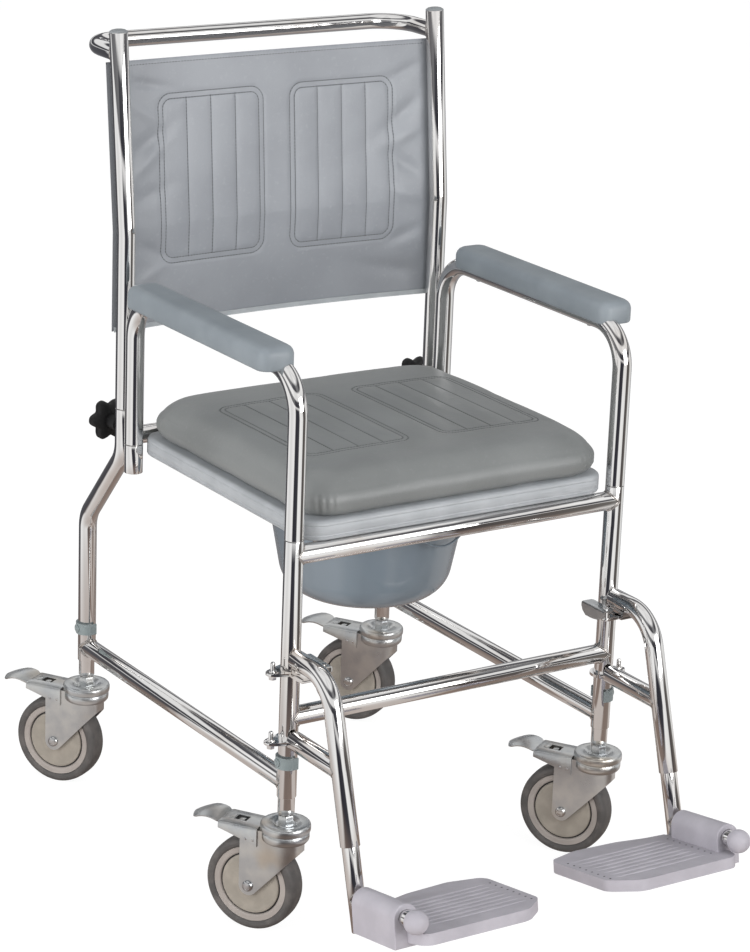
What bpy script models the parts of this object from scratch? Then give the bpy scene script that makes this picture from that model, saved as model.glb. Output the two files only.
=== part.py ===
"""Wheeled commode chair: chromed tube frame on four braked castors.

The frame's own coordinates have the front legs at y = 0, the seat's middle at
x = 0 and the floor at z = 0. The front faces -Y. Everything hangs on one empty,
which is moved at the end so that the middle of the base is the origin.
"""

import math

import bmesh
import bpy
import numpy as np
from mathutils import Matrix, Vector

# Tubes
TUBE_R = 0.0127
TUBE_WALL = 0.0012
INNER_TUBE_R = 0.0111
SPIGOT_R = 0.0110
SPIGOT_LENGTH = 0.040
TUBE_SIDES = 12
GAP = 0.0003

# Frame
LEG_SPACING = 0.500
LEG_X = LEG_SPACING / 2
REAR_POST_Y = 0.445
REAR_JOGGLE = 0.102
JOGGLE_TOP_Z = 0.524
JOGGLE_BOTTOM_Z = 0.406
JOGGLE_BEND_R = 0.045
LEG_BOTTOM_Z = 0.190
FRONT_SEAM_Z = 0.537
REAR_SEAM_Z = 0.589
SEAT_RAIL_Z = 0.5165
LOWER_RAIL_Z = 0.299
SIDE_RAIL_Z = 0.210
REAR_CROSS_Z = 0.5485

# Height adjustment
LEG_OVERLAP_TOP_Z = 0.372
CLIP_Z = 0.239
CLIP_HEIGHT = 0.016
CLIP_WALL = 0.0028
CLIP_PIN_R = 0.0035

# Arms
ARM_SOCKET_OFFSET = 0.0276
ARM_SOCKET_TOP_Z = 0.546
ARM_SOCKET_BOTTOM_Z = 0.506
ARM_TUBE_Z = 0.752
ARM_BEND_R = 0.055
PAD_OFFSET = 0.011
PAD_WIDTH = 0.052
PAD_FRONT_Y = 0.026
PAD_REAR_Y = 0.384
PAD_BOTTOM_Z = 0.750
PAD_TOP_Z = 0.781

# Backrest
POST_BEND_Z = 0.833
POST_BEND_R = 0.120
RECLINE = 0.029
POST_CAP_HEIGHT = 0.005
PUSH_BAR_R = 0.0111
PUSH_BAR_Z = 1.068
POST_ABOVE_BAR = 0.028
POST_TOP_Z = PUSH_BAR_Z + POST_ABOVE_BAR
PUSH_BAR_REACH = 0.099
PUSH_BAR_BEND_R = 0.050
PANEL_BOTTOM_Z = 0.694
PANEL_TOP_Z = 1.0555
PANEL_BEYOND_LEG = 0.013
PANEL_HALF_WIDTH = LEG_X + PANEL_BEYOND_LEG
PANEL_SIDE_STRIP = 0.035
PANEL_THICKNESS = 0.009
PANEL_EDGE_THICKNESS = 0.004
PANEL_BULGE = 0.015
BACK_PANEL_INNER_X = 0.021
BACK_PANEL_OUTER_X = 0.187
BACK_PANEL_LOW_Z = 0.778
BACK_PANEL_HIGH_Z = 1.008

# Star knobs
KNOB_Z = 0.562
KNOB_PLANE = 0.043
KNOB_R = 0.0295
KNOB_THICKNESS = 0.016
KNOB_LOBES = 6
KNOB_LOBE_DEPTH = 0.0045
KNOB_NECK_R = 0.0105
KNOB_STUD_R = 0.004

# Seat
BOARD_INSIDE_LEG = 0.015
BOARD_HALF_WIDTH = LEG_X - BOARD_INSIDE_LEG
BOARD_FRONT_Y = -0.005
BOARD_REAR_Y = 0.431
BOARD_THICKNESS = 0.0265
BOARD_CORNER_R = 0.032
BOARD_EDGE_R = 0.007
APERTURE_HALF_WIDTH = 0.098
APERTURE_HALF_LENGTH = 0.120
CUSHION_INSET = 0.001
CUSHION_SHIFT = 0.003
CUSHION_CORNER_R = 0.054
CUSHION_EDGE_Z = 0.018
CUSHION_SIDE_TOP = 0.043
CUSHION_CROWN = 0.014
CUSHION_DRAW_IN = 0.005
CHANNEL_DEPTH = 0.0030
CHANNEL_BORDER = 0.007
SEAT_PANEL_INNER_X = 0.024
SEAT_PANEL_OUTER_X = 0.184
SEAT_PANEL_FRONT_Y = 0.082
SEAT_PANEL_REAR_Y = 0.320
CHANNELS_INSIDE = 3

# Pan and its rails
PAN_RAIL_INSIDE_LEG = 0.065
PAN_RAIL_X = LEG_X - PAN_RAIL_INSIDE_LEG
PAN_RAIL_R = 0.008
PAN_Y = 0.218
PAN_R = 0.141
PAN_BASE_R = 0.118
PAN_BOTTOM_Z = 0.362
PAN_CORNER_R = 0.045
PAN_WALL = 0.003
PAN_FLANGE = 0.0025
PAN_FLANGE_HALF_X = PAN_RAIL_X - 0.003
PAN_FLANGE_HALF_Y = 0.150
LUG_HALF_LENGTH = 0.015
LUG_WIDTH = 0.009

# Castors
CASTOR_ANGLE = math.radians(32.5)
CASTOR_TRAIL = 0.042
AXLE_Z = 0.0625
WHEEL_R = 0.0635
TYRE_WIDTH = 0.034
WHEEL_SIDES = 20
TYRE_INNER_R = 0.0515
HUB_WIDTH = 0.029
COVER_R = 0.0425
BORE_R = 0.0045
AXLE_R = 0.0041
AXLE_HEAD_R = 0.0070
AXLE_HEAD_HEIGHT = 0.004
PLATE_Z = 0.1545
PLATE_R = 0.033
PLATE_DISH_R = 0.019
HEAD_BOTTOM_Z = 0.1435
CROWN_R = 0.0315
CROWN_BOTTOM_Z = 0.1290
KINGPIN_R = 0.0055
KINGPIN_HOLE_R = 0.0062
EXTENSION_BOTTOM_Z = 0.167
NUT_R = 0.0110
FORK_INNER = 0.0185
FORK_WALL = 0.0025
FORK_END_R = 0.013
FORK_NOSE = 0.024
HOUSING_START = 0.0345
HOUSING_END = 0.086
HOUSING_HALF_WIDTH = 0.0232
HOUSING_WALL = 0.002
HOUSING_TOP_Z = 0.1460
HOUSING_SKIRT_Z = 0.1225
HOUSING_SKIRT_END_Z = 0.1355
PEDAL_PIVOT = 0.064
PEDAL_PIVOT_Z = 0.1385
PEDAL_PIN_R = 0.0022
PEDAL_WIDTH = 0.045
PEDAL_ROOT_WIDTH = 0.036
PEDAL_THICKNESS = 0.0024
PEDAL_LINE = (
    (0.062, 0.1400, PEDAL_ROOT_WIDTH),
    (0.0855, 0.1432, PEDAL_ROOT_WIDTH),
    (0.090, 0.1462, PEDAL_WIDTH),
    (0.106, 0.1500, PEDAL_WIDTH),
    (0.119, 0.1480, PEDAL_WIDTH),
    (0.130, 0.1430, PEDAL_WIDTH),
)

# Footrests
HANGER_X = LEG_X
HANGER_TOP_Z = 0.382
HANGER_BEND_Y = 0.094
HANGER_BEND_R = 0.055
HANGER_LEAN = math.radians(16.5)
HANGER_END_Z = 0.181
HANGER_START = 0.0138
STRUT_Z = 0.272
BRACKET_UPPER_Z = 0.363
BRACKET_LOWER_Z = 0.269
BRACKET_THICKNESS = 0.004
BRACKET_EAR = 0.026
BRACKET_R = 0.0185
BRACKET_EAR_R = 0.009
BRACKET_NOSE = 0.020
BRACKET_HOLE_R = 0.0134
BRACKET_PIN_R = 0.0030
BRACKET_PIN_HEIGHT = 0.013
BRACKET_NUT_R = 0.0055
BRACKET_NUT_HEIGHT = 0.006
FOOT_TILT = math.radians(10.0)
FOOT_PIN_Z = 0.118
FOOT_PIN_R = 0.0109
FOOT_PIN_LENGTH = 0.124
FOOT_PIN_WALL = 0.0014
EXTENSION_TAIL = 0.043
EXTENSION_INSERT = 0.085
FOOT_KNOB_R = 0.0155
BARREL_R = 0.0180
BARREL_HOLE_R = 0.0114
BARREL_START = 0.0158
BARREL_END = 0.113
PLATE_TOP = -0.016
PLATE_BASE = -0.031
BARREL_BASE = -0.037
PLATE_WALL = 0.004
PLATE_REACH = 0.198
PLATE_FRONT = 0.143
PLATE_RIB_HEIGHT = 0.0012
PLATE_RIBS = 8
PLATE_RIB_PITCH = 0.0130
PLATE_RIB_WIDTH = 0.0070

# Footrest latch levers
LEVER_LENGTH = 0.050
LEVER_WIDTH = 0.018
LEVER_DROP = 0.017
LEVER_THICKNESS = 0.002
LEVER_X = 0.028
LEVER_PIVOT_Y = -0.034
LEVER_Z = 0.374
LEVER_PIN_R = 0.0028

ARM_REAR_Y = REAR_POST_Y - ARM_SOCKET_OFFSET
REAR_LEG_Y = REAR_POST_Y + REAR_JOGGLE
BORE_TUBE_R = TUBE_R - TUBE_WALL
BOARD_BOTTOM_Z = SEAT_RAIL_Z + TUBE_R + GAP
BOARD_TOP_Z = BOARD_BOTTOM_Z + BOARD_THICKNESS
CUSHION_BOTTOM_Z = BOARD_TOP_Z + GAP
PAN_RAIL_TOP_Z = SEAT_RAIL_Z + PAN_RAIL_R
SIDES = {"left": -1, "right": 1}
CORNERS = {
    "front_left": (-1, 0.0),
    "front_right": (1, 0.0),
    "rear_left": (-1, REAR_LEG_Y),
    "rear_right": (1, REAR_LEG_Y),
}


def clear_scene():
    for thing in list(bpy.data.objects):
        bpy.data.objects.remove(thing, do_unlink=True)


def material(name, colour, roughness, metallic):
    made = bpy.data.materials.new(name)
    made.use_nodes = True
    shader = made.node_tree.nodes["Principled BSDF"]
    shader.inputs["Base Color"].default_value = (*colour, 1.0)
    shader.inputs["Roughness"].default_value = roughness
    shader.inputs["Metallic"].default_value = metallic
    made.diffuse_color = (*colour, 1.0)
    return made


def object_from(name, bm):
    """Makes an object from a bmesh, with its faces pointing out."""
    bmesh.ops.remove_doubles(bm, verts=bm.verts, dist=1e-7)
    bmesh.ops.recalc_face_normals(bm, faces=bm.faces)
    mesh = bpy.data.meshes.new(name)
    bm.to_mesh(mesh)
    bm.free()
    made = bpy.data.objects.new(name, mesh)
    bpy.context.scene.collection.objects.link(made)
    return made


def finish(thing, origin, paint, sharp=40.0):
    """Moves the origin to a point, gives the material and shades the round faces smooth."""
    thing.data.transform(Matrix.Translation(-Vector(origin)))
    thing.location = origin
    thing.data.materials.clear()
    thing.data.materials.append(paint)
    thing.data.shade_smooth()
    thing.data.set_sharp_from_angle(angle=math.radians(sharp))
    return thing


def combine(thing, others, operation):
    """Applies exact booleans one by one and removes the helpers."""
    for other in others:
        modifier = thing.modifiers.new("combine", "BOOLEAN")
        modifier.operation = operation
        modifier.solver = "EXACT"
        modifier.object = other
        bpy.context.view_layer.update()
        graph = bpy.context.evaluated_depsgraph_get()
        mesh = bpy.data.meshes.new_from_object(thing.evaluated_get(graph))
        thing.modifiers.clear()
        thing.data = mesh
        bpy.data.objects.remove(other, do_unlink=True)
    return thing


def union(thing, *others):
    return combine(thing, others, "UNION")


def cut(thing, *others):
    return combine(thing, others, "DIFFERENCE")


def ring_points(centre, across, up, radius, sides):
    turns = [2 * math.pi * (k + 0.5) / sides for k in range(sides)]
    return [centre + radius * (math.cos(t) * across + math.sin(t) * up) for t in turns]


def bridge(bm, first, second):
    count = len(first)
    for k in range(count):
        bm.faces.new((first[k], first[(k + 1) % count], second[(k + 1) % count], second[k]))


def path_frames(points):
    """Gives each point of a path the two directions square to it, carried along without twist."""
    points = [Vector(p) for p in points]
    last = len(points) - 1
    heading = (points[1] - points[0]).normalized()
    across = heading.cross(Vector((1, 0, 0)))
    if across.length < 0.5:
        across = heading.cross(Vector((0, 0, 1)))
    across.normalize()
    frames = []
    for k, point in enumerate(points):
        back = (point - points[k - 1]).normalized() if k else heading
        ahead = (points[k + 1] - point).normalized() if k < last else back
        tangent = (back + ahead).normalized()
        across = (across - tangent * across.dot(tangent)).normalized()
        frames.append((point, across, tangent.cross(across)))
    return frames


def filleted(corners, radius, steps):
    """A path through corners whose bends are arcs of one radius."""
    corners = [Vector(c) for c in corners]
    path = [corners[0]]
    for before, corner, after in zip(corners, corners[1:], corners[2:]):
        back = (before - corner).normalized()
        ahead = (after - corner).normalized()
        turn = math.pi - back.angle(ahead)
        run = radius * math.tan(turn / 2)
        middle = corner + (back + ahead).normalized() * radius / math.cos(turn / 2)
        start = corner + back * run - middle
        end = corner + ahead * run - middle
        for k in range(steps + 1):
            path.append(middle + start.slerp(end, k / steps, start).normalized() * radius)
    path.append(corners[-1])
    return path


def swept(name, path, radius, bore=0.0, sides=TUBE_SIDES, spigots=(0.0, 0.0), cap=0.0):
    """A tube along a path. Spigots are turned-down ends; cap closes the far end with a dome."""
    rings = [[frame, radius] for frame in path_frames(path)]
    if spigots[0]:
        (start, across, up), _ = rings[0]
        shoulder = start + (rings[1][0][0] - start).normalized() * spigots[0]
        rings[0][1] = SPIGOT_R
        rings[1:1] = [[(shoulder, across, up), SPIGOT_R], [(shoulder, across, up), radius]]
    if spigots[1]:
        (end, across, up), _ = rings[-1]
        shoulder = end + (rings[-2][0][0] - end).normalized() * spigots[1]
        rings[-1][1] = SPIGOT_R
        rings[-1:-1] = [[(shoulder, across, up), radius], [(shoulder, across, up), SPIGOT_R]]
    bm = bmesh.new()
    loops = [[bm.verts.new(p) for p in ring_points(*frame, r, sides)] for frame, r in rings]
    for first, second in zip(loops, loops[1:]):
        bridge(bm, first, second)
    if cap:
        end, across, up = rings[-1][0]
        heading = (end - rings[-2][0][0]).normalized()
        ring = ring_points(end + heading * cap * 0.7, across, up, radius * 0.72, sides)
        lip = [bm.verts.new(p) for p in ring]
        bridge(bm, loops[-1], lip)
        tip = bm.verts.new(end + heading * cap)
        for k in range(sides):
            bm.faces.new((lip[k], lip[(k + 1) % sides], tip))
    if not bore:
        bm.faces.new(loops[0])
        if not cap:
            bm.faces.new(loops[-1])
        return object_from(name, bm)
    inner = [[bm.verts.new(p) for p in ring_points(*frame, bore, sides)] for frame, r in rings]
    keep = [0] + [k for k in range(1, len(inner)) if rings[k][0][0] != rings[k - 1][0][0]]
    inner = [inner[k] for k in keep]
    for first, second in zip(inner, inner[1:]):
        bridge(bm, first, second)
    bridge(bm, loops[0], inner[0])
    if cap:
        bm.faces.new(inner[-1])
    else:
        bridge(bm, loops[-1], inner[-1])
    unused = [v for v in bm.verts if not v.link_faces]
    bmesh.ops.delete(bm, geom=unused, context="VERTS")
    return object_from(name, bm)


def straight_tube(name, start, end, radius=TUBE_R, bore=BORE_TUBE_R, sides=TUBE_SIDES):
    return swept(name, [start, end], radius, bore, sides)


def rod(name, start, end, radius, sides=10):
    return swept(name, [start, end], radius, 0.0, sides)


def turned(name, profile, sides, axis="Z", centre=(0, 0, 0)):
    """A solid turned round an axis from (radius, height) points, which start and end on the axis."""
    bm = bmesh.new()
    loops = []
    for radius, height in profile:
        if radius == 0:
            loops.append([bm.verts.new((0, 0, height))])
            continue
        turns = [2 * math.pi * (k + 0.5) / sides for k in range(sides)]
        loops.append([bm.verts.new((radius * math.cos(t), radius * math.sin(t), height)) for t in turns])
    for first, second in zip(loops, loops[1:]):
        if len(first) == 1 and len(second) == 1:
            continue
        if len(first) == 1 or len(second) == 1:
            pole, loop = (first[0], second) if len(first) == 1 else (second[0], first)
            for k in range(sides):
                bm.faces.new((pole, loop[k], loop[(k + 1) % sides]))
        else:
            bridge(bm, first, second)
    if len(loops[0]) > 1:
        bridge(bm, loops[-1], loops[0])
    turn = Matrix.Rotation(math.pi / 2, 4, "Y") if axis == "X" else Matrix()
    bmesh.ops.transform(bm, matrix=Matrix.Translation(centre) @ turn, verts=bm.verts)
    return object_from(name, bm)


def extruded(name, outline, low, high, axes="XY"):
    """An outline of flat points, extruded from low to high along the axis that it leaves out."""
    order = {"XY": (0, 1, 2), "XZ": (0, 2, 1), "YZ": (1, 2, 0)}[axes]
    bm = bmesh.new()
    loops = []
    for level in (low, high):
        loop = []
        for a, b in outline:
            point = [0.0, 0.0, 0.0]
            point[order[0]], point[order[1]], point[order[2]] = a, b, level
            loop.append(bm.verts.new(point))
        loops.append(loop)
    bridge(bm, *loops)
    bm.faces.new(loops[0])
    bm.faces.new(loops[1])
    return object_from(name, bm)


def block(name, low, high):
    corners = [(low[0], low[1]), (high[0], low[1]), (high[0], high[1]), (low[0], high[1])]
    return extruded(name, corners, low[2], high[2])


def arc(centre, radius, start, end, steps):
    """Points of an arc, with its angles in degrees."""
    turns = [math.radians(start + (end - start) * k / steps) for k in range(steps + 1)]
    return [(centre[0] + radius * math.cos(t), centre[1] + radius * math.sin(t)) for t in turns]


def rounded_rectangle(low, high, radius, steps=4):
    (x0, y0), (x1, y1) = low, high
    return (
        arc((x1 - radius, y0 + radius), radius, -90, 0, steps)
        + arc((x1 - radius, y1 - radius), radius, 0, 90, steps)
        + arc((x0 + radius, y1 - radius), radius, 90, 180, steps)
        + arc((x0 + radius, y0 + radius), radius, 180, 270, steps)
    )


def lofted(name, rings):
    """A closed solid through rings of equal count, capped at both ends."""
    bm = bmesh.new()
    loops = [[bm.verts.new(p) for p in ring] for ring in rings]
    for first, second in zip(loops, loops[1:]):
        bridge(bm, first, second)
    bm.faces.new(loops[0])
    bm.faces.new(loops[-1])
    return object_from(name, bm)


def post_y(z):
    """How far back the backrest post's axis lies at a height."""
    return REAR_POST_Y + max(0.0, z - POST_BEND_Z) * RECLINE / (POST_TOP_Z - POST_BEND_Z)


def front_leg(side, paint):
    """The front leg with the lower side rail welded to it, which ends just short of the rear leg."""
    x = SIDES[side] * LEG_X
    leg = rod(f"front_leg_{side}", (x, 0, LEG_BOTTOM_Z), (x, 0, FRONT_SEAM_Z), TUBE_R, TUBE_SIDES)
    rail_end = REAR_LEG_Y - TUBE_R - GAP
    union(leg, rod("rail", (x, 0, SIDE_RAIL_Z), (x, rail_end, SIDE_RAIL_Z), TUBE_R, TUBE_SIDES))
    past = 0.01
    bore = rod("bore", (x, 0, LEG_BOTTOM_Z - past), (x, 0, FRONT_SEAM_Z + past), BORE_TUBE_R, TUBE_SIDES)
    rail_bore = rod(
        "rail_bore", (x, TUBE_R, SIDE_RAIL_Z), (x, rail_end + past, SIDE_RAIL_Z), BORE_TUBE_R, TUBE_SIDES
    )
    cut(leg, bore, rail_bore, clip_hole(side, 0.0))
    return finish(leg, (x, 0, LEG_BOTTOM_Z), paint)


def clip_hole(side, y):
    x = SIDES[side] * LEG_X
    reach = SIDES[side] * (TUBE_R + CLIP_WALL)
    inside = SIDES[side] * (BORE_TUBE_R - TUBE_WALL)
    return rod("hole", (x + inside, y, CLIP_Z), (x + reach, y, CLIP_Z), CLIP_PIN_R + 2 * GAP, 8)


def rear_leg(side, paint):
    """The rear leg steps back below the seat, and carries the arm's socket in front of it."""
    x = SIDES[side] * LEG_X
    corners = [
        (x, REAR_LEG_Y, LEG_BOTTOM_Z),
        (x, REAR_LEG_Y, JOGGLE_BOTTOM_Z),
        (x, REAR_POST_Y, JOGGLE_TOP_Z),
        (x, REAR_POST_Y, REAR_SEAM_Z),
    ]
    leg = swept(f"rear_leg_{side}", filleted(corners, JOGGLE_BEND_R, 2), TUBE_R, BORE_TUBE_R)
    low = (x, ARM_REAR_Y, ARM_SOCKET_BOTTOM_Z)
    socket = straight_tube("socket", low, (x, ARM_REAR_Y, ARM_SOCKET_TOP_Z))
    wall = TUBE_WALL / 2
    weld = block(
        "weld",
        (x - 3 * TUBE_WALL, ARM_REAR_Y + TUBE_R - wall, ARM_SOCKET_BOTTOM_Z + TUBE_WALL),
        (x + 3 * TUBE_WALL, REAR_POST_Y - TUBE_R + wall, ARM_SOCKET_TOP_Z - TUBE_WALL),
    )
    union(leg, weld, socket)
    hole_end = (x, REAR_POST_Y + TUBE_R + TUBE_WALL, KNOB_Z)
    stud_hole = rod("stud_hole", (x, REAR_POST_Y + SPIGOT_R, KNOB_Z), hole_end, KNOB_STUD_R + 2 * GAP)
    cut(leg, stud_hole, clip_hole(side, REAR_LEG_Y))
    return finish(leg, (x, REAR_POST_Y, REAR_SEAM_Z), paint)


def frame_rails(paint):
    """The cross tubes, each cut just short of the legs that it is welded to."""
    end = LEG_X - TUBE_R - GAP
    for name, y, z in (
        ("front_seat_rail", 0.0, SEAT_RAIL_Z),
        ("front_lower_rail", 0.0, LOWER_RAIL_Z),
        ("rear_seat_rail", REAR_POST_Y, REAR_CROSS_Z),
    ):
        rail = straight_tube(name, (-end, y, z), (end, y, z))
        finish(rail, (0, y, z), paint)
    for side in SIDES:
        pan_rail(side, paint)


def pan_rail(side, paint):
    """A thin tube under the seat that the pan hangs on, with a tab up to the rear seat rail."""
    x = SIDES[side] * PAN_RAIL_X
    start = (x, TUBE_R + GAP, SEAT_RAIL_Z)
    stop = (x, REAR_POST_Y + PAN_RAIL_R, SEAT_RAIL_Z)
    rail = straight_tube(f"pan_rail_{side}", start, stop, PAN_RAIL_R, PAN_RAIL_R - TUBE_WALL)
    inner, outer = sorted((x, x + SIDES[side] * PAN_RAIL_R * 0.6))
    low_z = SEAT_RAIL_Z + PAN_RAIL_R * 0.6
    tab = block(
        "tab",
        (inner, REAR_POST_Y - PAN_RAIL_R, low_z),
        (outer, REAR_POST_Y + PAN_RAIL_R * 0.9, REAR_CROSS_Z - TUBE_R - GAP),
    )
    return finish(union(rail, tab), start, paint)


def arm_tube(side, paint):
    x = SIDES[side] * LEG_X
    corners = [
        (x, 0, FRONT_SEAM_Z + GAP - SPIGOT_LENGTH),
        (x, 0, ARM_TUBE_Z),
        (x, ARM_REAR_Y, ARM_TUBE_Z),
        (x, ARM_REAR_Y, ARM_SOCKET_TOP_Z + GAP - SPIGOT_LENGTH * 0.8),
    ]
    spigots = (SPIGOT_LENGTH, SPIGOT_LENGTH * 0.8)
    path = filleted(corners, ARM_BEND_R, 3)
    tube = swept(f"arm_tube_{side}", path, TUBE_R, SPIGOT_R - TUBE_WALL, spigots=spigots)
    return finish(tube, (x, 0, FRONT_SEAM_Z), paint)


def arm_pad(side, paint):
    """A moulded pad with round ends, set over the arm tube and towards the outside of it."""
    tube_x = SIDES[side] * LEG_X
    x = tube_x + SIDES[side] * PAD_OFFSET
    half = PAD_WIDTH / 2
    levels = [(PAD_BOTTOM_Z, 0.0035), (PAD_BOTTOM_Z + 0.003, 0.0)]
    levels += [(PAD_TOP_Z - 0.010, 0.001), (PAD_TOP_Z - 0.003, 0.005), (PAD_TOP_Z, 0.012)]
    rings = []
    for z, inset in levels:
        low = (x - half + inset, PAD_FRONT_Y + inset)
        high = (x + half - inset, PAD_REAR_Y - inset)
        outline = rounded_rectangle(low, high, half * 0.8 - inset * 0.6, 3)
        rings.append([(a, b, z) for a, b in outline])
    pad = lofted(f"arm_pad_{side}", rings)
    corners = [
        (tube_x, 0, FRONT_SEAM_Z),
        (tube_x, 0, ARM_TUBE_Z),
        (tube_x, ARM_REAR_Y, ARM_TUBE_Z),
        (tube_x, ARM_REAR_Y, ARM_SOCKET_TOP_Z),
    ]
    recess = swept("recess", filleted(corners, ARM_BEND_R, 3), TUBE_R + GAP)
    return finish(cut(pad, recess), (x, PAD_FRONT_Y, PAD_BOTTOM_Z), paint)


def back_post(side, paint):
    x = SIDES[side] * LEG_X
    corners = [
        (x, REAR_POST_Y, REAR_SEAM_Z + GAP - SPIGOT_LENGTH),
        (x, REAR_POST_Y, POST_BEND_Z),
        (x, post_y(POST_TOP_Z), POST_TOP_Z),
    ]
    path = filleted(corners, POST_BEND_R, 1)
    ends = (SPIGOT_LENGTH, 0.0)
    bore = SPIGOT_R - TUBE_WALL
    post = swept(f"back_post_{side}", path, TUBE_R, bore, spigots=ends, cap=POST_CAP_HEIGHT)
    return finish(post, (x, REAR_POST_Y, REAR_SEAM_Z), paint)


def push_bar(paint):
    start_y = post_y(PUSH_BAR_Z)
    y = start_y + PUSH_BAR_REACH
    plan = [(-LEG_X, start_y), (-LEG_X, y), (LEG_X, y), (LEG_X, start_y)]
    corners = [(*point, PUSH_BAR_Z) for point in plan]
    bar = swept("push_bar", filleted(corners, PUSH_BAR_BEND_R, 3), PUSH_BAR_R, PUSH_BAR_R - TUBE_WALL)
    for x in (-LEG_X, LEG_X):
        low, high = PUSH_BAR_Z - 2 * PUSH_BAR_R, PUSH_BAR_Z + 2 * PUSH_BAR_R
        cut(bar, rod("post_room", (x, post_y(low), low), (x, post_y(high), high), TUBE_R + GAP, TUBE_SIDES))
    return finish(bar, (0, y, PUSH_BAR_Z), paint)


def seam_lines(inner, outer):
    """The places of one sewn panel's seams across it: both edges and those between them."""
    count = CHANNELS_INSIDE + 1
    return [inner + (outer - inner) * k / count for k in range(count + 1)]


def groove(distance, reach):
    """How deep a seam draws the cover in, from 1 on the seam to 0 at the reach beside it."""
    return max(0.0, 1.0 - abs(distance) / reach)


def channel_depth(a, b, seams, low, high):
    """The draw-in of two mirrored sewn panels at a point: pillowed channels inside a sewn border."""
    a = abs(a)
    if not seams[0] <= a <= seams[-1]:
        nearest = min(abs(a - seams[0]), abs(a - seams[-1]))
        return groove(nearest, CHANNEL_BORDER) if low <= b <= high else 0.0
    border = max(groove(b - low, CHANNEL_BORDER), groove(b - high, CHANNEL_BORDER))
    if not low <= b <= high:
        return border
    half_pitch = (seams[1] - seams[0]) / 2
    return max(border, max(groove(a - line, half_pitch) for line in seams))


def grid_lines(limit, seams, plain):
    """Grid lines for one half: plain ones, each seam, each channel's middle and one beside the border."""
    lines = set(plain) | set(seams) | {seams[0] - CHANNEL_BORDER, seams[-1] + CHANNEL_BORDER}
    lines |= {(a + b) / 2 for a, b in zip(seams, seams[1:])}
    lines = sorted(v for v in lines if v < limit)
    return lines + [limit]


def grid_border(rows):
    """The outer loop of a grid given as rows."""
    right = [row[-1] for row in rows[1:]]
    left = [row[0] for row in rows[-2:0:-1]]
    return rows[0] + right + rows[-1][-2::-1] + left


def back_panel(paint):
    """The padded vinyl back: fixed behind the posts, bulging back between them, with its sewn panels."""
    seams = seam_lines(BACK_PANEL_INNER_X, BACK_PANEL_OUTER_X)
    half = grid_lines(PANEL_HALF_WIDTH, seams, [0.0, LEG_X - PANEL_SIDE_STRIP, LEG_X - TUBE_R])
    xs = sorted({-v for v in half} | set(half))
    reach = CHANNEL_BORDER
    panel_middle = (POST_BEND_Z + BACK_PANEL_HIGH_Z) / 2
    zs = {PANEL_BOTTOM_Z, PANEL_TOP_Z, POST_BEND_Z, panel_middle}
    for seam in (BACK_PANEL_LOW_Z, BACK_PANEL_HIGH_Z):
        zs |= {seam - reach, seam, seam + reach}
    zs = sorted(zs)
    rest = TUBE_R + GAP

    def surface(x, z, face):
        across = 1.0 - (abs(x) / (LEG_X - TUBE_R)) ** 2 if abs(x) < LEG_X - TUBE_R else 0.0
        share = (z - PANEL_BOTTOM_Z) / (PANEL_TOP_Z - PANEL_BOTTOM_Z)
        along = math.sin(math.pi * share)
        y = post_y(z) + rest + PANEL_BULGE * across * (1.0 - 0.75 * share)
        fill = min(1.0, across * 4) * min(1.0, along * 5)
        thickness = PANEL_EDGE_THICKNESS + (PANEL_THICKNESS - PANEL_EDGE_THICKNESS) * fill
        draw = CHANNEL_DEPTH * channel_depth(x, z, seams, BACK_PANEL_LOW_Z, BACK_PANEL_HIGH_Z)
        return y + draw if face == 0 else y + thickness - draw * 0.5

    bm = bmesh.new()
    sheets = [[[bm.verts.new((x, surface(x, z, face), z)) for x in xs] for z in zs] for face in (0, 1)]
    for sheet in sheets:
        for low, high in zip(sheet, sheet[1:]):
            for k in range(len(xs) - 1):
                bm.faces.new((low[k], low[k + 1], high[k + 1], high[k]))
    front, back = sheets
    bridge(bm, grid_border(front), grid_border(back))
    panel = object_from("back_panel", bm)
    return finish(panel, (0, post_y(PANEL_BOTTOM_Z) + rest, PANEL_BOTTOM_Z), paint)


def star_knob(side, paint):
    """A six-lobed clamping knob whose stud passes through the rear leg's wall."""
    x = SIDES[side] * LEG_X
    points = 3 * KNOB_LOBES
    outline = []
    for k in range(points):
        turn = 2 * math.pi * k / points
        radius = KNOB_R - KNOB_LOBE_DEPTH * (1 - math.cos(KNOB_LOBES * turn)) / 1.5
        outline.append((x + radius * math.cos(turn), KNOB_Z + radius * math.sin(turn)))
    middle = REAR_POST_Y + KNOB_PLANE
    half = KNOB_THICKNESS / 2
    head = extruded(f"star_knob_{side}", outline, middle - half, middle + half, "XZ")
    neck_start = REAR_POST_Y + TUBE_R + 3 * GAP
    neck = rod("neck", (x, neck_start, KNOB_Z), (x, middle, KNOB_Z), KNOB_NECK_R, 12)
    stud = rod("stud", (x, REAR_POST_Y + SPIGOT_R + 2 * GAP, KNOB_Z), (x, middle, KNOB_Z), KNOB_STUD_R, 10)
    union(head, neck, stud)
    return finish(head, (x, REAR_POST_Y + TUBE_R, KNOB_Z), paint)


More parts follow.
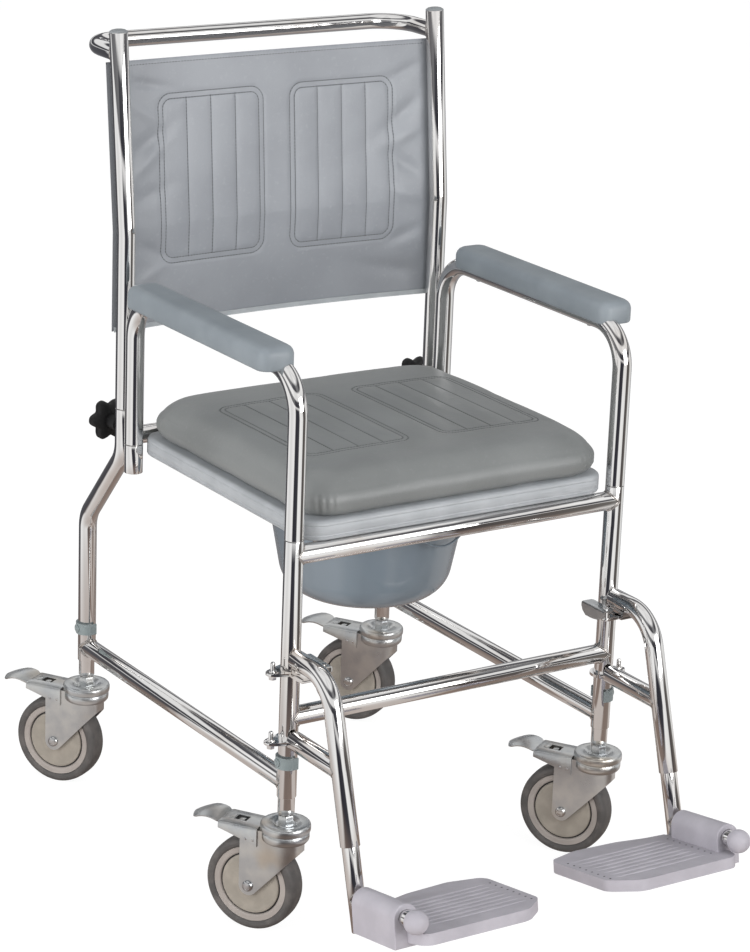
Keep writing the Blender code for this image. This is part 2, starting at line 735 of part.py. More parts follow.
def height_clip(corner, paint):
    """A plastic clip that snaps on the leg from outside, with its pin in the leg's hole."""
    sign, y = CORNERS[corner]
    x = sign * LEG_X
    inner = TUBE_R + GAP
    outer = inner + CLIP_WALL
    lip = -sign * TUBE_R * 0.55
    start, end = (-90, 90) if sign > 0 else (90, 270)
    outline = [(x + lip, y - outer * sign)] + arc((x, y), outer, start, end, 8)
    outline += [(x + lip, y + outer * sign), (x + lip, y + inner * sign)]
    outline += arc((x, y), inner, end, start, 8) + [(x + lip, y - inner * sign)]
    half = CLIP_HEIGHT / 2
    clip = extruded(f"height_clip_{corner}", outline, CLIP_Z - half, CLIP_Z + half)
    pin_start = x + sign * (INNER_TUBE_R + GAP)
    pin = rod("pin", (pin_start, y, CLIP_Z), (x + sign * (outer - GAP), y, CLIP_Z), CLIP_PIN_R, 8)
    button = turned(
        "button",
        [(0, -0.001), (0.0055, -0.001), (0.0055, 0.001), (0.003, 0.0024), (0, 0.0024)],
        8,
        "X",
    )
    beside = Matrix.Translation((x + sign * outer, y, CLIP_Z))
    button.data.transform(beside @ Matrix.Diagonal((sign, 1, 1, 1)))
    if sign < 0:
        button.data.flip_normals()
    union(clip, pin, button)
    return finish(clip, (x, y, CLIP_Z), paint)


def seat_board(paint):
    """The moulded commode seat under the cushion: a thick board with an oval aperture and rail lugs."""
    low = (-BOARD_HALF_WIDTH, BOARD_FRONT_Y)
    high = (BOARD_HALF_WIDTH, BOARD_REAR_Y)
    rings = []
    edge = BOARD_EDGE_R
    for inset, z in (
        (edge * 0.6, BOARD_BOTTOM_Z),
        (edge * 0.1, BOARD_BOTTOM_Z + edge * 0.4),
        (0.0, BOARD_BOTTOM_Z + edge),
        (0.0, BOARD_TOP_Z - edge),
        (edge * 0.3, BOARD_TOP_Z - edge * 0.3),
        (edge, BOARD_TOP_Z),
    ):
        corner_low = (low[0] + inset, low[1] + inset)
        corner_high = (high[0] - inset, high[1] - inset)
        outline = rounded_rectangle(corner_low, corner_high, BOARD_CORNER_R - inset)
        rings.append([(x, y, z) for x, y in outline])
    board = lofted("seat_board", rings)
    lugs = []
    for sign in (-1, 1):
        for y in (BOARD_FRONT_Y + 0.09, BOARD_REAR_Y - 0.05):
            beside_flange = sign * (PAN_FLANGE_HALF_X + 2 * GAP)
            inner, outer = sorted((beside_flange, sign * (PAN_FLANGE_HALF_X + LUG_WIDTH)))
            lugs.append(
                block(
                    "lug",
                    (inner, y - LUG_HALF_LENGTH, PAN_RAIL_TOP_Z + GAP),
                    (outer, y + LUG_HALF_LENGTH, BOARD_BOTTOM_Z + BOARD_THICKNESS / 3),
                )
            )
    union(board, *lugs)
    turns = [2 * math.pi * k / 24 for k in range(24)]
    oval = [
        (APERTURE_HALF_WIDTH * math.cos(t), PAN_Y + APERTURE_HALF_LENGTH * math.sin(t)) for t in turns
    ]
    hole = extruded("hole", oval, BOARD_BOTTOM_Z - BOARD_THICKNESS, BOARD_TOP_Z + BOARD_THICKNESS)
    return finish(cut(board, hole), (0, PAN_Y, BOARD_BOTTOM_Z), paint)


def seat_cushion(paint):
    """The lift-off cushion: crowned top with its sewn channels, sides drawn in to a flat base."""
    half = BOARD_HALF_WIDTH - CUSHION_INSET
    low_y = BOARD_FRONT_Y + CUSHION_INSET
    high_y = BOARD_REAR_Y - CUSHION_INSET
    middle = (low_y + high_y) / 2
    long = (high_y - low_y) / 2
    radius = CUSHION_CORNER_R
    seams = seam_lines(SEAT_PANEL_INNER_X, SEAT_PANEL_OUTER_X)
    plain = [0.0, half - radius * 0.6, half - radius * 0.25]
    right = grid_lines(half, seams, plain)
    xs = sorted({-v for v in right} | set(right))
    reach = CHANNEL_BORDER
    ys = {low_y, high_y, middle}
    for share in (0.25, 0.6, 1.0):
        ys |= {low_y + radius * share, high_y - radius * share}
    for seam in (SEAT_PANEL_FRONT_Y, SEAT_PANEL_REAR_Y):
        ys |= {seam - reach, seam, seam + reach}
    ys = sorted(ys)

    def rounded(x, y, inset):
        """Pulls a grid point in so that the grid's corners become arcs, then draws the edge in."""
        ox = max(0.0, abs(x) - (half - radius))
        oy = max(0.0, abs(y - middle) - (long - radius))
        if ox > 0 and oy > 0:
            pull = max(ox, oy) / math.hypot(ox, oy)
            ox, oy = ox * pull, oy * pull
        ox = ox * (radius - inset) / radius
        oy = oy * (radius - inset) / radius
        px = min(abs(x), half - radius) + ox
        py = min(abs(y - middle), long - radius) + oy
        return math.copysign(px, x), middle + math.copysign(py, y - middle)

    def height(x, y):
        shape = (1 - (abs(x) / half) ** 4) * (1 - (abs(y - middle) / long) ** 4)
        crown = CUSHION_CROWN * max(0.0, shape) ** 0.5
        depth = CHANNEL_DEPTH * channel_depth(x, y, seams, SEAT_PANEL_FRONT_Y, SEAT_PANEL_REAR_Y)
        return CUSHION_BOTTOM_Z + CUSHION_SIDE_TOP + crown - depth

    bm = bmesh.new()
    top = [[bm.verts.new((*rounded(x, y, CUSHION_DRAW_IN), height(x, y))) for x in xs] for y in ys]
    for low, high in zip(top, top[1:]):
        for k in range(len(xs) - 1):
            bm.faces.new((low[k], low[k + 1], high[k + 1], high[k]))
    walk = grid_border([[(x, y) for x in xs] for y in ys])
    border = grid_border(top)
    bottom = CUSHION_BOTTOM_Z
    for inset, z in (
        (0.0, bottom + CUSHION_EDGE_Z),
        (CUSHION_DRAW_IN * 0.9, bottom + 0.005),
        (CUSHION_DRAW_IN * 2.2, bottom),
    ):
        loop = [bm.verts.new((*rounded(x, y, inset), z)) for x, y in walk]
        bridge(bm, border, loop)
        border = loop
    bm.faces.new(border)
    cushion = object_from("seat_cushion", bm)
    cushion.data.transform(Matrix.Translation((CUSHION_SHIFT, 0, 0)))
    return finish(cushion, (0, PAN_Y, CUSHION_BOTTOM_Z), paint, 50.0)


def commode_pan(paint):
    """A deep round pan with a square flange that hangs on the two pan rails."""
    top = PAN_RAIL_TOP_Z + GAP
    steps = 3
    outer = [(0.0, PAN_BOTTOM_Z)]
    inner = [(0.0, PAN_BOTTOM_Z + PAN_WALL)]
    for profile, wall in ((outer, 0.0), (inner, PAN_WALL)):
        radius = PAN_CORNER_R - wall
        centre = (PAN_BASE_R - PAN_CORNER_R, PAN_BOTTOM_Z + PAN_CORNER_R)
        for k in range(steps + 1):
            turn = math.radians(-90 + 78 * k / steps)
            profile.append((centre[0] + radius * math.cos(turn), centre[1] + radius * math.sin(turn)))
    rim = top + PAN_FLANGE
    profile = outer + [(PAN_R, top), (PAN_R, rim), (PAN_R - PAN_WALL, rim)] + inner[::-1]
    bowl = turned("commode_pan", profile, 24, centre=(0, PAN_Y, 0))
    low = (-PAN_FLANGE_HALF_X, PAN_Y - PAN_FLANGE_HALF_Y)
    high = (PAN_FLANGE_HALF_X, PAN_Y + PAN_FLANGE_HALF_Y)
    flange = extruded("flange", rounded_rectangle(low, high, 0.02, 4), top, rim)
    turns = [2 * math.pi * (k + 0.5) / 24 for k in range(24)]
    mouth_r = PAN_R - PAN_WALL / 2
    mouth = [(mouth_r * math.cos(t), PAN_Y + mouth_r * math.sin(t)) for t in turns]
    cut(flange, extruded("mouth", mouth, top - PAN_WALL, rim + PAN_WALL))
    return finish(union(bowl, flange), (0, PAN_Y, top), paint)


def leg_extension(corner, mesh):
    sign, y = CORNERS[corner]
    thing = bpy.data.objects.new(f"leg_extension_{corner}", mesh)
    bpy.context.scene.collection.objects.link(thing)
    thing.location = (sign * LEG_X, y, 0)
    return thing


def extension_mesh(paint):
    """The sliding inner tube, the stem nut and the castor's top plate with the pin that the fork turns on."""
    low, high = (0, 0, EXTENSION_BOTTOM_Z), (0, 0, LEG_OVERLAP_TOP_Z)
    tube = straight_tube("extension", low, high, INNER_TUBE_R, INNER_TUBE_R - TUBE_WALL)
    dish = PLATE_Z - 0.003
    head = turned(
        "head",
        [
            (0, CROWN_BOTTOM_Z),
            (KINGPIN_R, CROWN_BOTTOM_Z),
            (KINGPIN_R, HEAD_BOTTOM_Z),
            (PLATE_R, HEAD_BOTTOM_Z),
            (PLATE_R, PLATE_Z - 0.0025),
            (PLATE_R - 0.0025, PLATE_Z),
            (PLATE_DISH_R, PLATE_Z),
            (PLATE_DISH_R - 0.004, dish),
            (0, dish),
        ],
        16,
    )
    sunk = 0.001
    nut_low, nut_high = dish - sunk, EXTENSION_BOTTOM_Z + sunk
    nut = turned("nut", [(0, nut_low), (NUT_R, nut_low), (NUT_R, nut_high), (0, nut_high)], 6)
    union(head, nut, tube)
    return finish(head, (0, 0, 0), paint)


def fork_mesh(paint):
    """A pressed fork: round crown, two cheeks tapering to the axle, and the brake housing behind."""
    crown = turned(
        "fork",
        [
            (KINGPIN_HOLE_R, CROWN_BOTTOM_Z),
            (CROWN_R - 0.004, CROWN_BOTTOM_Z),
            (CROWN_R, CROWN_BOTTOM_Z + 0.005),
            (CROWN_R, HEAD_BOTTOM_Z - GAP),
            (KINGPIN_HOLE_R, HEAD_BOTTOM_Z - GAP),
        ],
        16,
    )
    outer = FORK_INNER + FORK_WALL
    back = CASTOR_TRAIL + FORK_END_R
    cheek = arc((CASTOR_TRAIL, AXLE_Z), FORK_END_R, 0, -142, 4)
    web_top = HEAD_BOTTOM_Z - 4 * GAP
    web_low = CROWN_BOTTOM_Z + 0.001
    cheek += [(-FORK_NOSE, web_low + 0.002), (-FORK_NOSE, web_top), (back, web_top)]
    pieces = []
    for sign in (-1, 1):
        low, high = sorted((sign * FORK_INNER, sign * outer))
        pieces.append(extruded("cheek", cheek, low, high, "YZ"))
    half = HOUSING_HALF_WIDTH - HOUSING_WALL / 2
    web_start, web_end = KINGPIN_HOLE_R + 0.012, HOUSING_START + 0.006
    pieces.append(block("web", (-half, web_start, web_low), (half, web_end, web_top)))
    union(crown, *pieces)
    skirt = [
        (HOUSING_START, HOUSING_SKIRT_Z),
        (HOUSING_START + 0.006, HOUSING_SKIRT_Z),
        (HOUSING_END, HOUSING_SKIRT_END_Z),
        (HOUSING_END, HOUSING_TOP_Z),
        (HOUSING_START, HOUSING_TOP_Z),
    ]
    housing = extruded("housing", skirt, -HOUSING_HALF_WIDTH, HOUSING_HALF_WIDTH, "YZ")
    side = HOUSING_HALF_WIDTH - HOUSING_WALL
    past = 0.010
    ceiling = HOUSING_TOP_Z - HOUSING_WALL
    room = block("room", (-side, HOUSING_START - past, 0.0), (side, HOUSING_END + past, ceiling))
    cut(housing, room)
    axle_hole = rod("axle_hole", (-0.03, CASTOR_TRAIL, AXLE_Z), (0.03, CASTOR_TRAIL, AXLE_Z), AXLE_R + GAP, 8)
    union(crown, housing)
    cut(crown, axle_hole)
    return finish(crown, (0, 0, 0), paint)


def tyre_mesh(paint):
    half = TYRE_WIDTH / 2
    tyre = turned(
        "tyre",
        [
            (TYRE_INNER_R, -half * 0.86),
            (WHEEL_R - 0.004, -half),
            (WHEEL_R, -half * 0.6),
            (WHEEL_R, half * 0.6),
            (WHEEL_R - 0.004, half),
            (TYRE_INNER_R, half * 0.86),
        ],
        WHEEL_SIDES,
        "X",
    )
    return finish(tyre, (0, 0, 0), paint)


def hub_mesh(paint):
    half = HUB_WIDTH / 2
    side = [(BORE_R, half), (COVER_R, half), (TYRE_INNER_R - GAP, half * 0.86)]
    profile = [(r, -h) for r, h in side] + side[::-1]
    return finish(turned("hub", profile, WHEEL_SIDES, "X"), (0, 0, 0), paint)


def axle_mesh(paint):
    cheek = FORK_INNER + FORK_WALL + GAP
    dome = [(AXLE_HEAD_R * 0.8, cheek + AXLE_HEAD_HEIGHT * 0.8)]
    side = [(AXLE_R, cheek), (AXLE_HEAD_R, cheek)] + dome
    end = cheek + AXLE_HEAD_HEIGHT
    profile = [(0, -end)] + [(r, -h) for r, h in side[::-1]] + side + [(0, end)]
    return finish(turned("axle", profile, 8, "X"), (0, 0, 0), paint)


def pedal_mesh(paint):
    """The brake pedal: a tongue arched along its length, on a cross pin inside the housing."""
    rings = []
    for y, z, width in PEDAL_LINE:
        y, z, half = y - PEDAL_PIVOT, z - PEDAL_PIVOT_Z, width / 2
        low = z - PEDAL_THICKNESS
        rings.append([(-half, y, low), (half, y, low), (half, y, z), (-half, y, z)])
    tongue = lofted("pedal", rings)
    half = HOUSING_HALF_WIDTH - HOUSING_WALL - GAP
    pin = rod("pin", (-half, 0, 0), (half, 0, 0), PEDAL_PIN_R, 8)
    boss = block("boss", (-PEDAL_ROOT_WIDTH / 2, -0.003, -0.003), (PEDAL_ROOT_WIDTH / 2, 0.005, 0.001))
    union(tongue, boss, pin)
    return finish(tongue, (0, 0, 0), paint)


def castors(zinc, rubber, grey, steel, chrome):
    """Four castors that share their meshes. Each trails the same way, as they stand after a push."""
    extension = extension_mesh(chrome)
    models = {
        "fork": (fork_mesh(zinc), (0, 0)),
        "wheel_tyre": (tyre_mesh(rubber), (CASTOR_TRAIL, AXLE_Z)),
        "wheel_hub": (hub_mesh(grey), (CASTOR_TRAIL, AXLE_Z)),
        "axle_bolt": (axle_mesh(steel), (CASTOR_TRAIL, AXLE_Z)),
        "brake_pedal": (pedal_mesh(zinc), (PEDAL_PIVOT, PEDAL_PIVOT_Z)),
    }
    trail = Vector((-math.sin(CASTOR_ANGLE), math.cos(CASTOR_ANGLE), 0))
    for corner, (sign, y) in CORNERS.items():
        leg_extension(corner, extension.data)
        swivel = Vector((sign * LEG_X, y, 0))
        for kind, (model, (back, height)) in models.items():
            thing = bpy.data.objects.new(f"{kind}_{corner}", model.data)
            bpy.context.scene.collection.objects.link(thing)
            thing.location = swivel + trail * back + Vector((0, 0, height))
            thing.rotation_euler = (0, 0, CASTOR_ANGLE)
    for model, _ in models.values():
        bpy.data.objects.remove(model, do_unlink=True)
    bpy.data.objects.remove(extension, do_unlink=True)


def hanger_y(z):
    """The leaning stretch of the hanger tube, as far forward as it lies at a height."""
    return -HANGER_BEND_Y - (HANGER_TOP_Z - z) * math.tan(HANGER_LEAN)


def foot_frame(side):
    """Where the footrest's pin crosses the tube, and the directions in, forward and up of the plate."""
    sign = SIDES[side]
    origin = Vector((sign * HANGER_X, hanger_y(FOOT_PIN_Z), FOOT_PIN_Z))
    inward = Vector((-sign, 0, 0))
    forward = Vector((0, -math.cos(FOOT_TILT), math.sin(FOOT_TILT)))
    up = Vector((0, math.sin(FOOT_TILT), math.cos(FOOT_TILT)))
    return origin, inward, forward, up


def bracket(name, side, z, forward_reach):
    """A plate round the front leg, with an ear to the outside for its bolt and a nose to the tube."""
    sign = SIDES[side]
    low, high = z - BRACKET_THICKNESS / 2, z + BRACKET_THICKNESS / 2
    outline = [(BRACKET_NOSE / 2, -forward_reach)]
    outline += arc((0, 0), BRACKET_R, -55, -55, 1)[:1] + arc((BRACKET_EAR, 0), BRACKET_EAR_R, -75, 75, 4)
    outline += arc((0, 0), BRACKET_R, 55, 235, 6) + [(-BRACKET_NOSE / 2, -forward_reach)]
    plate = extruded(name, [(sign * (LEG_X + a), b) for a, b in outline], low, high)
    bolt = turned(
        "bolt",
        [
            (0, low - BRACKET_NUT_HEIGHT),
            (BRACKET_NUT_R, low - BRACKET_NUT_HEIGHT),
            (BRACKET_NUT_R, z),
            (BRACKET_PIN_R, z),
            (BRACKET_PIN_R, high + BRACKET_PIN_HEIGHT),
            (0, high + BRACKET_PIN_HEIGHT),
        ],
        6,
        centre=(sign * (LEG_X + BRACKET_EAR), 0, 0),
    )
    return [plate, bolt]


def hanger(side, paint):
    """The swing-away hanger: bent tube, strut and two bracket plates that turn on the front leg."""
    sign = SIDES[side]
    x = sign * HANGER_X
    top = (x, -HANGER_START, HANGER_TOP_Z)
    bend = (x, -HANGER_BEND_Y, HANGER_TOP_Z)
    end = (x, hanger_y(HANGER_END_Z), HANGER_END_Z)
    corners = [top, bend, end]
    tube = swept(f"footrest_hanger_{side}", filleted(corners, HANGER_BEND_R, 3), TUBE_R)
    strut_end = (x, hanger_y(STRUT_Z) + TUBE_R * 0.5, STRUT_Z)
    strut = rod("strut", (x, -HANGER_START - 0.002, STRUT_Z), strut_end, TUBE_R, TUBE_SIDES)
    web = block("web", (x - 0.008, -0.045, BRACKET_UPPER_Z), (x + 0.008, -0.017, HANGER_TOP_Z - TUBE_R * 0.6))
    union(tube, strut, web)
    union(tube, *bracket("upper", side, BRACKET_UPPER_Z, 0.045))
    union(tube, *bracket("lower", side, BRACKET_LOWER_Z, 0.030))
    union(tube, *lever_mount(side))
    before = (x, -HANGER_START + 0.004, HANGER_TOP_Z)
    beyond = (x, hanger_y(HANGER_END_Z - 0.02), HANGER_END_Z - 0.02)
    bore = swept("bore", filleted([before, bend, beyond], HANGER_BEND_R, 3), BORE_TUBE_R)
    strut_start = (x, -HANGER_START - 0.022, STRUT_Z)
    strut_bore = rod("strut_bore", strut_start, (x, hanger_y(STRUT_Z), STRUT_Z), BORE_TUBE_R, TUBE_SIDES)
    leg_low, leg_high = (x, 0, BRACKET_LOWER_Z - 0.03), (x, 0, HANGER_TOP_Z + 0.03)
    leg_room = rod("leg_room", leg_low, leg_high, BRACKET_HOLE_R, 16)
    cut(tube, bore, strut_bore, leg_room)
    return finish(tube, (x, 0, BRACKET_UPPER_Z), paint)


def lever_mount(side):
    """A tab on the upper bracket with the latch lever's pivot pin."""
    sign = SIDES[side]
    pivot = sign * (LEG_X - LEVER_X)
    low, high = BRACKET_UPPER_Z - BRACKET_THICKNESS / 2, BRACKET_UPPER_Z + BRACKET_THICKNESS / 2
    near, far = sorted((pivot, sign * LEG_X))
    tab = block("tab", (near, LEVER_PIVOT_Y - 0.006, low), (far, LEVER_PIVOT_Y + 0.006, high))
    disc = [(0, low), (0.006, low), (0.006, high), (0, high)]
    end = turned("end", disc, 8, centre=(pivot, LEVER_PIVOT_Y, 0))
    boss = rod("boss", (pivot, LEVER_PIVOT_Y, low + 0.001), (pivot, LEVER_PIVOT_Y, LEVER_Z - GAP), 0.005, 8)
    pin_top = (pivot, LEVER_PIVOT_Y, LEVER_Z + LEVER_THICKNESS + 0.002)
    pin = rod("pin", (pivot, LEVER_PIVOT_Y, high), pin_top, LEVER_PIN_R, 8)
    return [tab, end, boss, pin]


def latch_lever(side, paint):
    """A folded steel lever that releases the hanger, on the inner side of the leg."""
    sign = SIDES[side]
    pivot = sign * (LEG_X - LEVER_X)
    inner = pivot - sign * LEVER_WIDTH / 2
    outer = pivot + sign * LEVER_WIDTH / 2
    front = LEVER_PIVOT_Y - 0.007
    back = front + LEVER_LENGTH
    low_x, high_x = sorted((inner, outer))
    top = block(f"latch_lever_{side}", (low_x, front, LEVER_Z), (high_x, back, LEVER_Z + LEVER_THICKNESS))
    flange_x = sorted((inner, inner + sign * LEVER_THICKNESS))
    drop = LEVER_Z - LEVER_DROP
    lid = LEVER_Z + LEVER_THICKNESS
    outline = [(front, lid), (front, LEVER_Z - LEVER_DROP * 0.45), (front + 0.012, drop + 0.002)]
    outline += [(back - 0.010, drop), (back - 0.001, drop + 0.007), (back, lid)]
    flange = extruded("flange", outline, flange_x[0], flange_x[1], "YZ")
    union(top, flange)
    hole_low, hole_high = (pivot, LEVER_PIVOT_Y, LEVER_Z - 0.01), (pivot, LEVER_PIVOT_Y, LEVER_Z + 0.01)
    hole = rod("hole", hole_low, hole_high, LEVER_PIN_R + 2 * GAP, 8)
    slot = block(
        "slot",
        (pivot - 0.0035, back - 0.016, LEVER_Z - 0.01),
        (pivot + 0.0035, back - 0.007, LEVER_Z + 0.01),
    )
    cut(top, hole, slot)
    return finish(top, (pivot, LEVER_PIVOT_Y, LEVER_Z), paint)


def footrest_extension(side, paint):
    """The sliding tube below the hanger, with the footplate's pin welded square across it."""
    origin, _, forward, _ = foot_frame(side)
    along = Vector((0, math.sin(HANGER_LEAN), math.cos(HANGER_LEAN)))
    top = origin + along * ((HANGER_END_Z - FOOT_PIN_Z) / math.cos(HANGER_LEAN) + EXTENSION_INSERT)
    bottom = origin - along * EXTENSION_TAIL
    tube = swept(f"footrest_extension_{side}", [top, bottom], INNER_TUBE_R, 0.0)
    pin = rod("pin", origin, origin + forward * FOOT_PIN_LENGTH, FOOT_PIN_R, TUBE_SIDES)
    union(tube, pin)
    bore = rod("bore", top + along * 0.01, origin + along * 0.03, INNER_TUBE_R - TUBE_WALL, TUBE_SIDES)
    bore_start, bore_end = origin + forward * 0.02, origin + forward * (FOOT_PIN_LENGTH + 0.01)
    pin_bore = rod("pin_bore", bore_start, bore_end, FOOT_PIN_R - FOOT_PIN_WALL, TUBE_SIDES)
    cut(tube, bore, pin_bore)
    return finish(tube, origin, paint)


def foot_knob(side, paint):
    """A ball end plugged into the footplate's pin."""
    origin, _, forward, _ = foot_frame(side)
    lip = FOOT_PIN_LENGTH + GAP
    centre = lip + FOOT_KNOB_R * 0.70
    plug = (FOOT_PIN_R - FOOT_PIN_WALL) * math.cos(math.pi / TUBE_SIDES) - GAP
    profile = [(0, lip - 0.010), (plug, lip - 0.010), (plug, lip)]
    steps = 5
    first = math.acos(-0.70)
    for k in range(steps):
        turn = first * (1 - k / steps)
        profile.append((FOOT_KNOB_R * math.sin(turn), centre + FOOT_KNOB_R * math.cos(turn)))
    profile.append((0, centre + FOOT_KNOB_R))
    knob = turned(f"footrest_knob_{side}", profile, 14)
    knob.data.transform(Matrix.Translation(origin) @ forward.to_track_quat("Z", "Y").to_matrix().to_4x4())
    return finish(knob, origin + forward * lip, paint)


def to_world(thing, side):
    """Carries a solid from the plate's own directions (in, forward, up) to the chair."""
    origin, inward, forward, up = foot_frame(side)
    turn = Matrix((inward, forward, up)).transposed().to_4x4()
    thing.data.transform(Matrix.Translation(origin) @ turn)
    if turn.determinant() < 0:
        thing.data.flip_normals()
    return thing


def footplate(side, paint):
    """The ribbed footplate with its hinge barrel. Modelled as (in, forward, up) from the pin."""
    edge = [
        (0.018, -0.002),
        (0.045, -0.006),
        (0.085, -0.018),
        (0.150, -0.023),
        (PLATE_REACH - 0.006, -0.010),
        (PLATE_REACH, 0.000),
        (PLATE_REACH, 0.110),
        (PLATE_REACH - 0.008, 0.120),
        (0.166, PLATE_FRONT - 0.003),
        (0.156, PLATE_FRONT),
        (0.016, PLATE_FRONT),
        (0.006, PLATE_FRONT - 0.008),
        (0.000, BARREL_END),
        (0.000, BARREL_START),
        (0.016, BARREL_START - 0.001),
    ]
    plate = extruded(f"footplate_{side}", edge, PLATE_BASE, PLATE_TOP)
    barrel = rod("barrel", (0, BARREL_START, 0), (0, BARREL_END, 0), BARREL_R, 14)
    wall = block("wall", (-BARREL_R * 0.97, BARREL_START, BARREL_BASE), (BARREL_R * 0.97, BARREL_END, 0))
    union(plate, barrel, wall)
    low_rib = 0.012
    ribs = []
    for k in range(PLATE_RIBS):
        v = low_rib + PLATE_RIB_PITCH * (k + 0.5)
        end = PLATE_REACH - 0.020
        start = BARREL_R + 0.020
        half = PLATE_RIB_WIDTH / 2
        outline = [(start, v - half), (end, v - half), (end + half, v)]
        outline += [(end, v + half), (start, v + half), (start - half, v)]
        ribs.append(extruded("rib", outline, PLATE_TOP - 0.001, PLATE_TOP + PLATE_RIB_HEIGHT))
    union(plate, *ribs)
    wall = PLATE_WALL
    pocket_outline = [
        (BARREL_R + wall, 0.002),
        (0.088, -0.013),
        (0.149, -0.018),
        (PLATE_REACH - wall * 2, -0.002),
        (PLATE_REACH - wall, 0.006),
        (PLATE_REACH - wall, 0.106),
        (0.162, PLATE_FRONT - wall * 1.6),
        (0.152, PLATE_FRONT - wall),
        (BARREL_R + wall, PLATE_FRONT - wall),
    ]
    pocket = extruded("pocket", pocket_outline, PLATE_BASE - wall, PLATE_TOP - wall)
    under_low = (-BARREL_R + wall, BARREL_START + wall, BARREL_BASE - wall)
    under = block("under", under_low, (BARREL_R, BARREL_END - wall, -0.015))
    hole = rod("hole", (0, BARREL_START - wall, 0), (0, PLATE_FRONT + wall, 0), BARREL_HOLE_R, TUBE_SIDES)
    cut(plate, pocket, under, hole)
    to_world(plate, side)
    return finish(plate, foot_frame(side)[0], paint)


def set_on_origin():
    """Hangs every piece on one empty and moves it so that the base's middle is the origin."""
    chair = bpy.data.objects.new("chair", None)
    pieces = [thing for thing in bpy.data.objects if thing.type == "MESH"]
    bpy.context.scene.collection.objects.link(chair)
    bpy.context.view_layer.update()
    low = np.full(3, np.inf)
    high = np.full(3, -np.inf)
    for thing in pieces:
        points = np.array([thing.matrix_world @ v.co for v in thing.data.vertices])
        low = np.minimum(low, points.min(axis=0))
        high = np.maximum(high, points.max(axis=0))
    for thing in pieces:
        thing.parent = chair
    middle = (low + high) / 2
    chair.location = (-float(middle[0]), -float(middle[1]), -float(low[2]))
    bpy.context.view_layer.update()
    return chair


def main():
    clear_scene()
    chrome = material("chrome", (0.80, 0.79, 0.78), 0.08, 1.0)
    zinc = material("zinc_plate", (0.68, 0.67, 0.65), 0.32, 1.0)
    steel = material("bright_steel", (0.72, 0.72, 0.72), 0.22, 1.0)
    rubber = material("grey_rubber", (0.10, 0.10, 0.10), 0.60, 0.0)
    hub_grey = material("hub_grey", (0.30, 0.29, 0.27), 0.50, 0.0)
    clip_grey = material("clip_grey", (0.21, 0.24, 0.24), 0.45, 0.0)
    pad_grey = material("pad_grey", (0.24, 0.28, 0.32), 0.50, 0.0)
    vinyl = material("back_vinyl", (0.24, 0.27, 0.29), 0.45, 0.0)
    seat_vinyl = material("seat_vinyl", (0.18, 0.21, 0.21), 0.42, 0.0)
    board_grey = material("board_grey", (0.30, 0.34, 0.36), 0.50, 0.0)
    pan_grey = material("pan_grey", (0.21, 0.24, 0.27), 0.20, 0.0)
    black = material("knob_black", (0.02, 0.02, 0.02), 0.40, 0.0)
    plate_grey = material("footplate_grey", (0.38, 0.35, 0.40), 0.50, 0.0)
    for side in SIDES:
        front_leg(side, chrome)
        rear_leg(side, chrome)
        arm_tube(side, chrome)
        arm_pad(side, pad_grey)
        back_post(side, chrome)
        star_knob(side, black)
        hanger(side, chrome)
        latch_lever(side, zinc)
        footrest_extension(side, chrome)
        foot_knob(side, plate_grey)
        footplate(side, plate_grey)
    frame_rails(chrome)
    push_bar(chrome)
    back_panel(vinyl)
    seat_board(board_grey)
    seat_cushion(seat_vinyl)
    commode_pan(pan_grey)
    for corner in CORNERS:
        height_clip(corner, clip_grey)
    castors(zinc, rubber, hub_grey, steel, chrome)
    set_on_origin()


main()
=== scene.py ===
import math

import bmesh
import bpy
import numpy as np
from mathutils import Matrix, Vector
from mathutils.bvhtree import BVHTree


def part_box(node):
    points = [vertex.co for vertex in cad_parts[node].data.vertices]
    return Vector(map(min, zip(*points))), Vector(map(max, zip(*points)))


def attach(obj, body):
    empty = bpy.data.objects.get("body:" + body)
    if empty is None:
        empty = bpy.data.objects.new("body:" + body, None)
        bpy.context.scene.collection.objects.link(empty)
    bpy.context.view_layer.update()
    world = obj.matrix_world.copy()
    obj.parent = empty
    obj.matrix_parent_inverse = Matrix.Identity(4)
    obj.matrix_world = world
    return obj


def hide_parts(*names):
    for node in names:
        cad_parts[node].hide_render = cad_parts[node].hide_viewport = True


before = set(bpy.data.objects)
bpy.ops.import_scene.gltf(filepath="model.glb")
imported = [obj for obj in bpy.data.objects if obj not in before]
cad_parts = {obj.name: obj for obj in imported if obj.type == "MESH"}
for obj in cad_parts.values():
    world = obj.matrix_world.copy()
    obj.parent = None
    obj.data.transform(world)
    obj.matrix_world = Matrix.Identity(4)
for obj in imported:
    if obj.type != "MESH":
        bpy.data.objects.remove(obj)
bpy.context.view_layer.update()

# the chair's own zero: between the front legs, on the floor
chair = {
    "legX": 0.250,
    "postY": 0.445,
    "rearLegY": 0.547,
    "armRearY": 0.4174,
    "legBottom": 0.190,
    "frontSeam": 0.537,
    "rearSeam": 0.589,
    "armTop": 0.752,
    "seatRail": 0.5165,
    "lowerRail": 0.299,
    "sideRail": 0.210,
    "rearCross": 0.5485,
    "bendPost": 0.833,
    "topPost": 1.096,
    "recline": 0.029,
    "castorAngle": math.radians(32.5),
}
tube = {"radius": 0.0127, "wall": 0.0012, "inner": 0.0111, "spigot": 0.0110, "sides": 32}
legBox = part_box("front_leg_left")
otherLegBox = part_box("front_leg_right")
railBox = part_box("front_seat_rail")
shift = Vector((
    (legBox[0].x + otherLegBox[1].x) / 2,
    (railBox[0].y + railBox[1].y) / 2,
    legBox[0].z - chair["legBottom"],
))
sides = {"left": -1, "right": 1}
corners = {
    "front_left": (-1, 0.0),
    "front_right": (1, 0.0),
    "rear_left": (-1, chair["rearLegY"]),
    "rear_right": (1, chair["rearLegY"]),
}


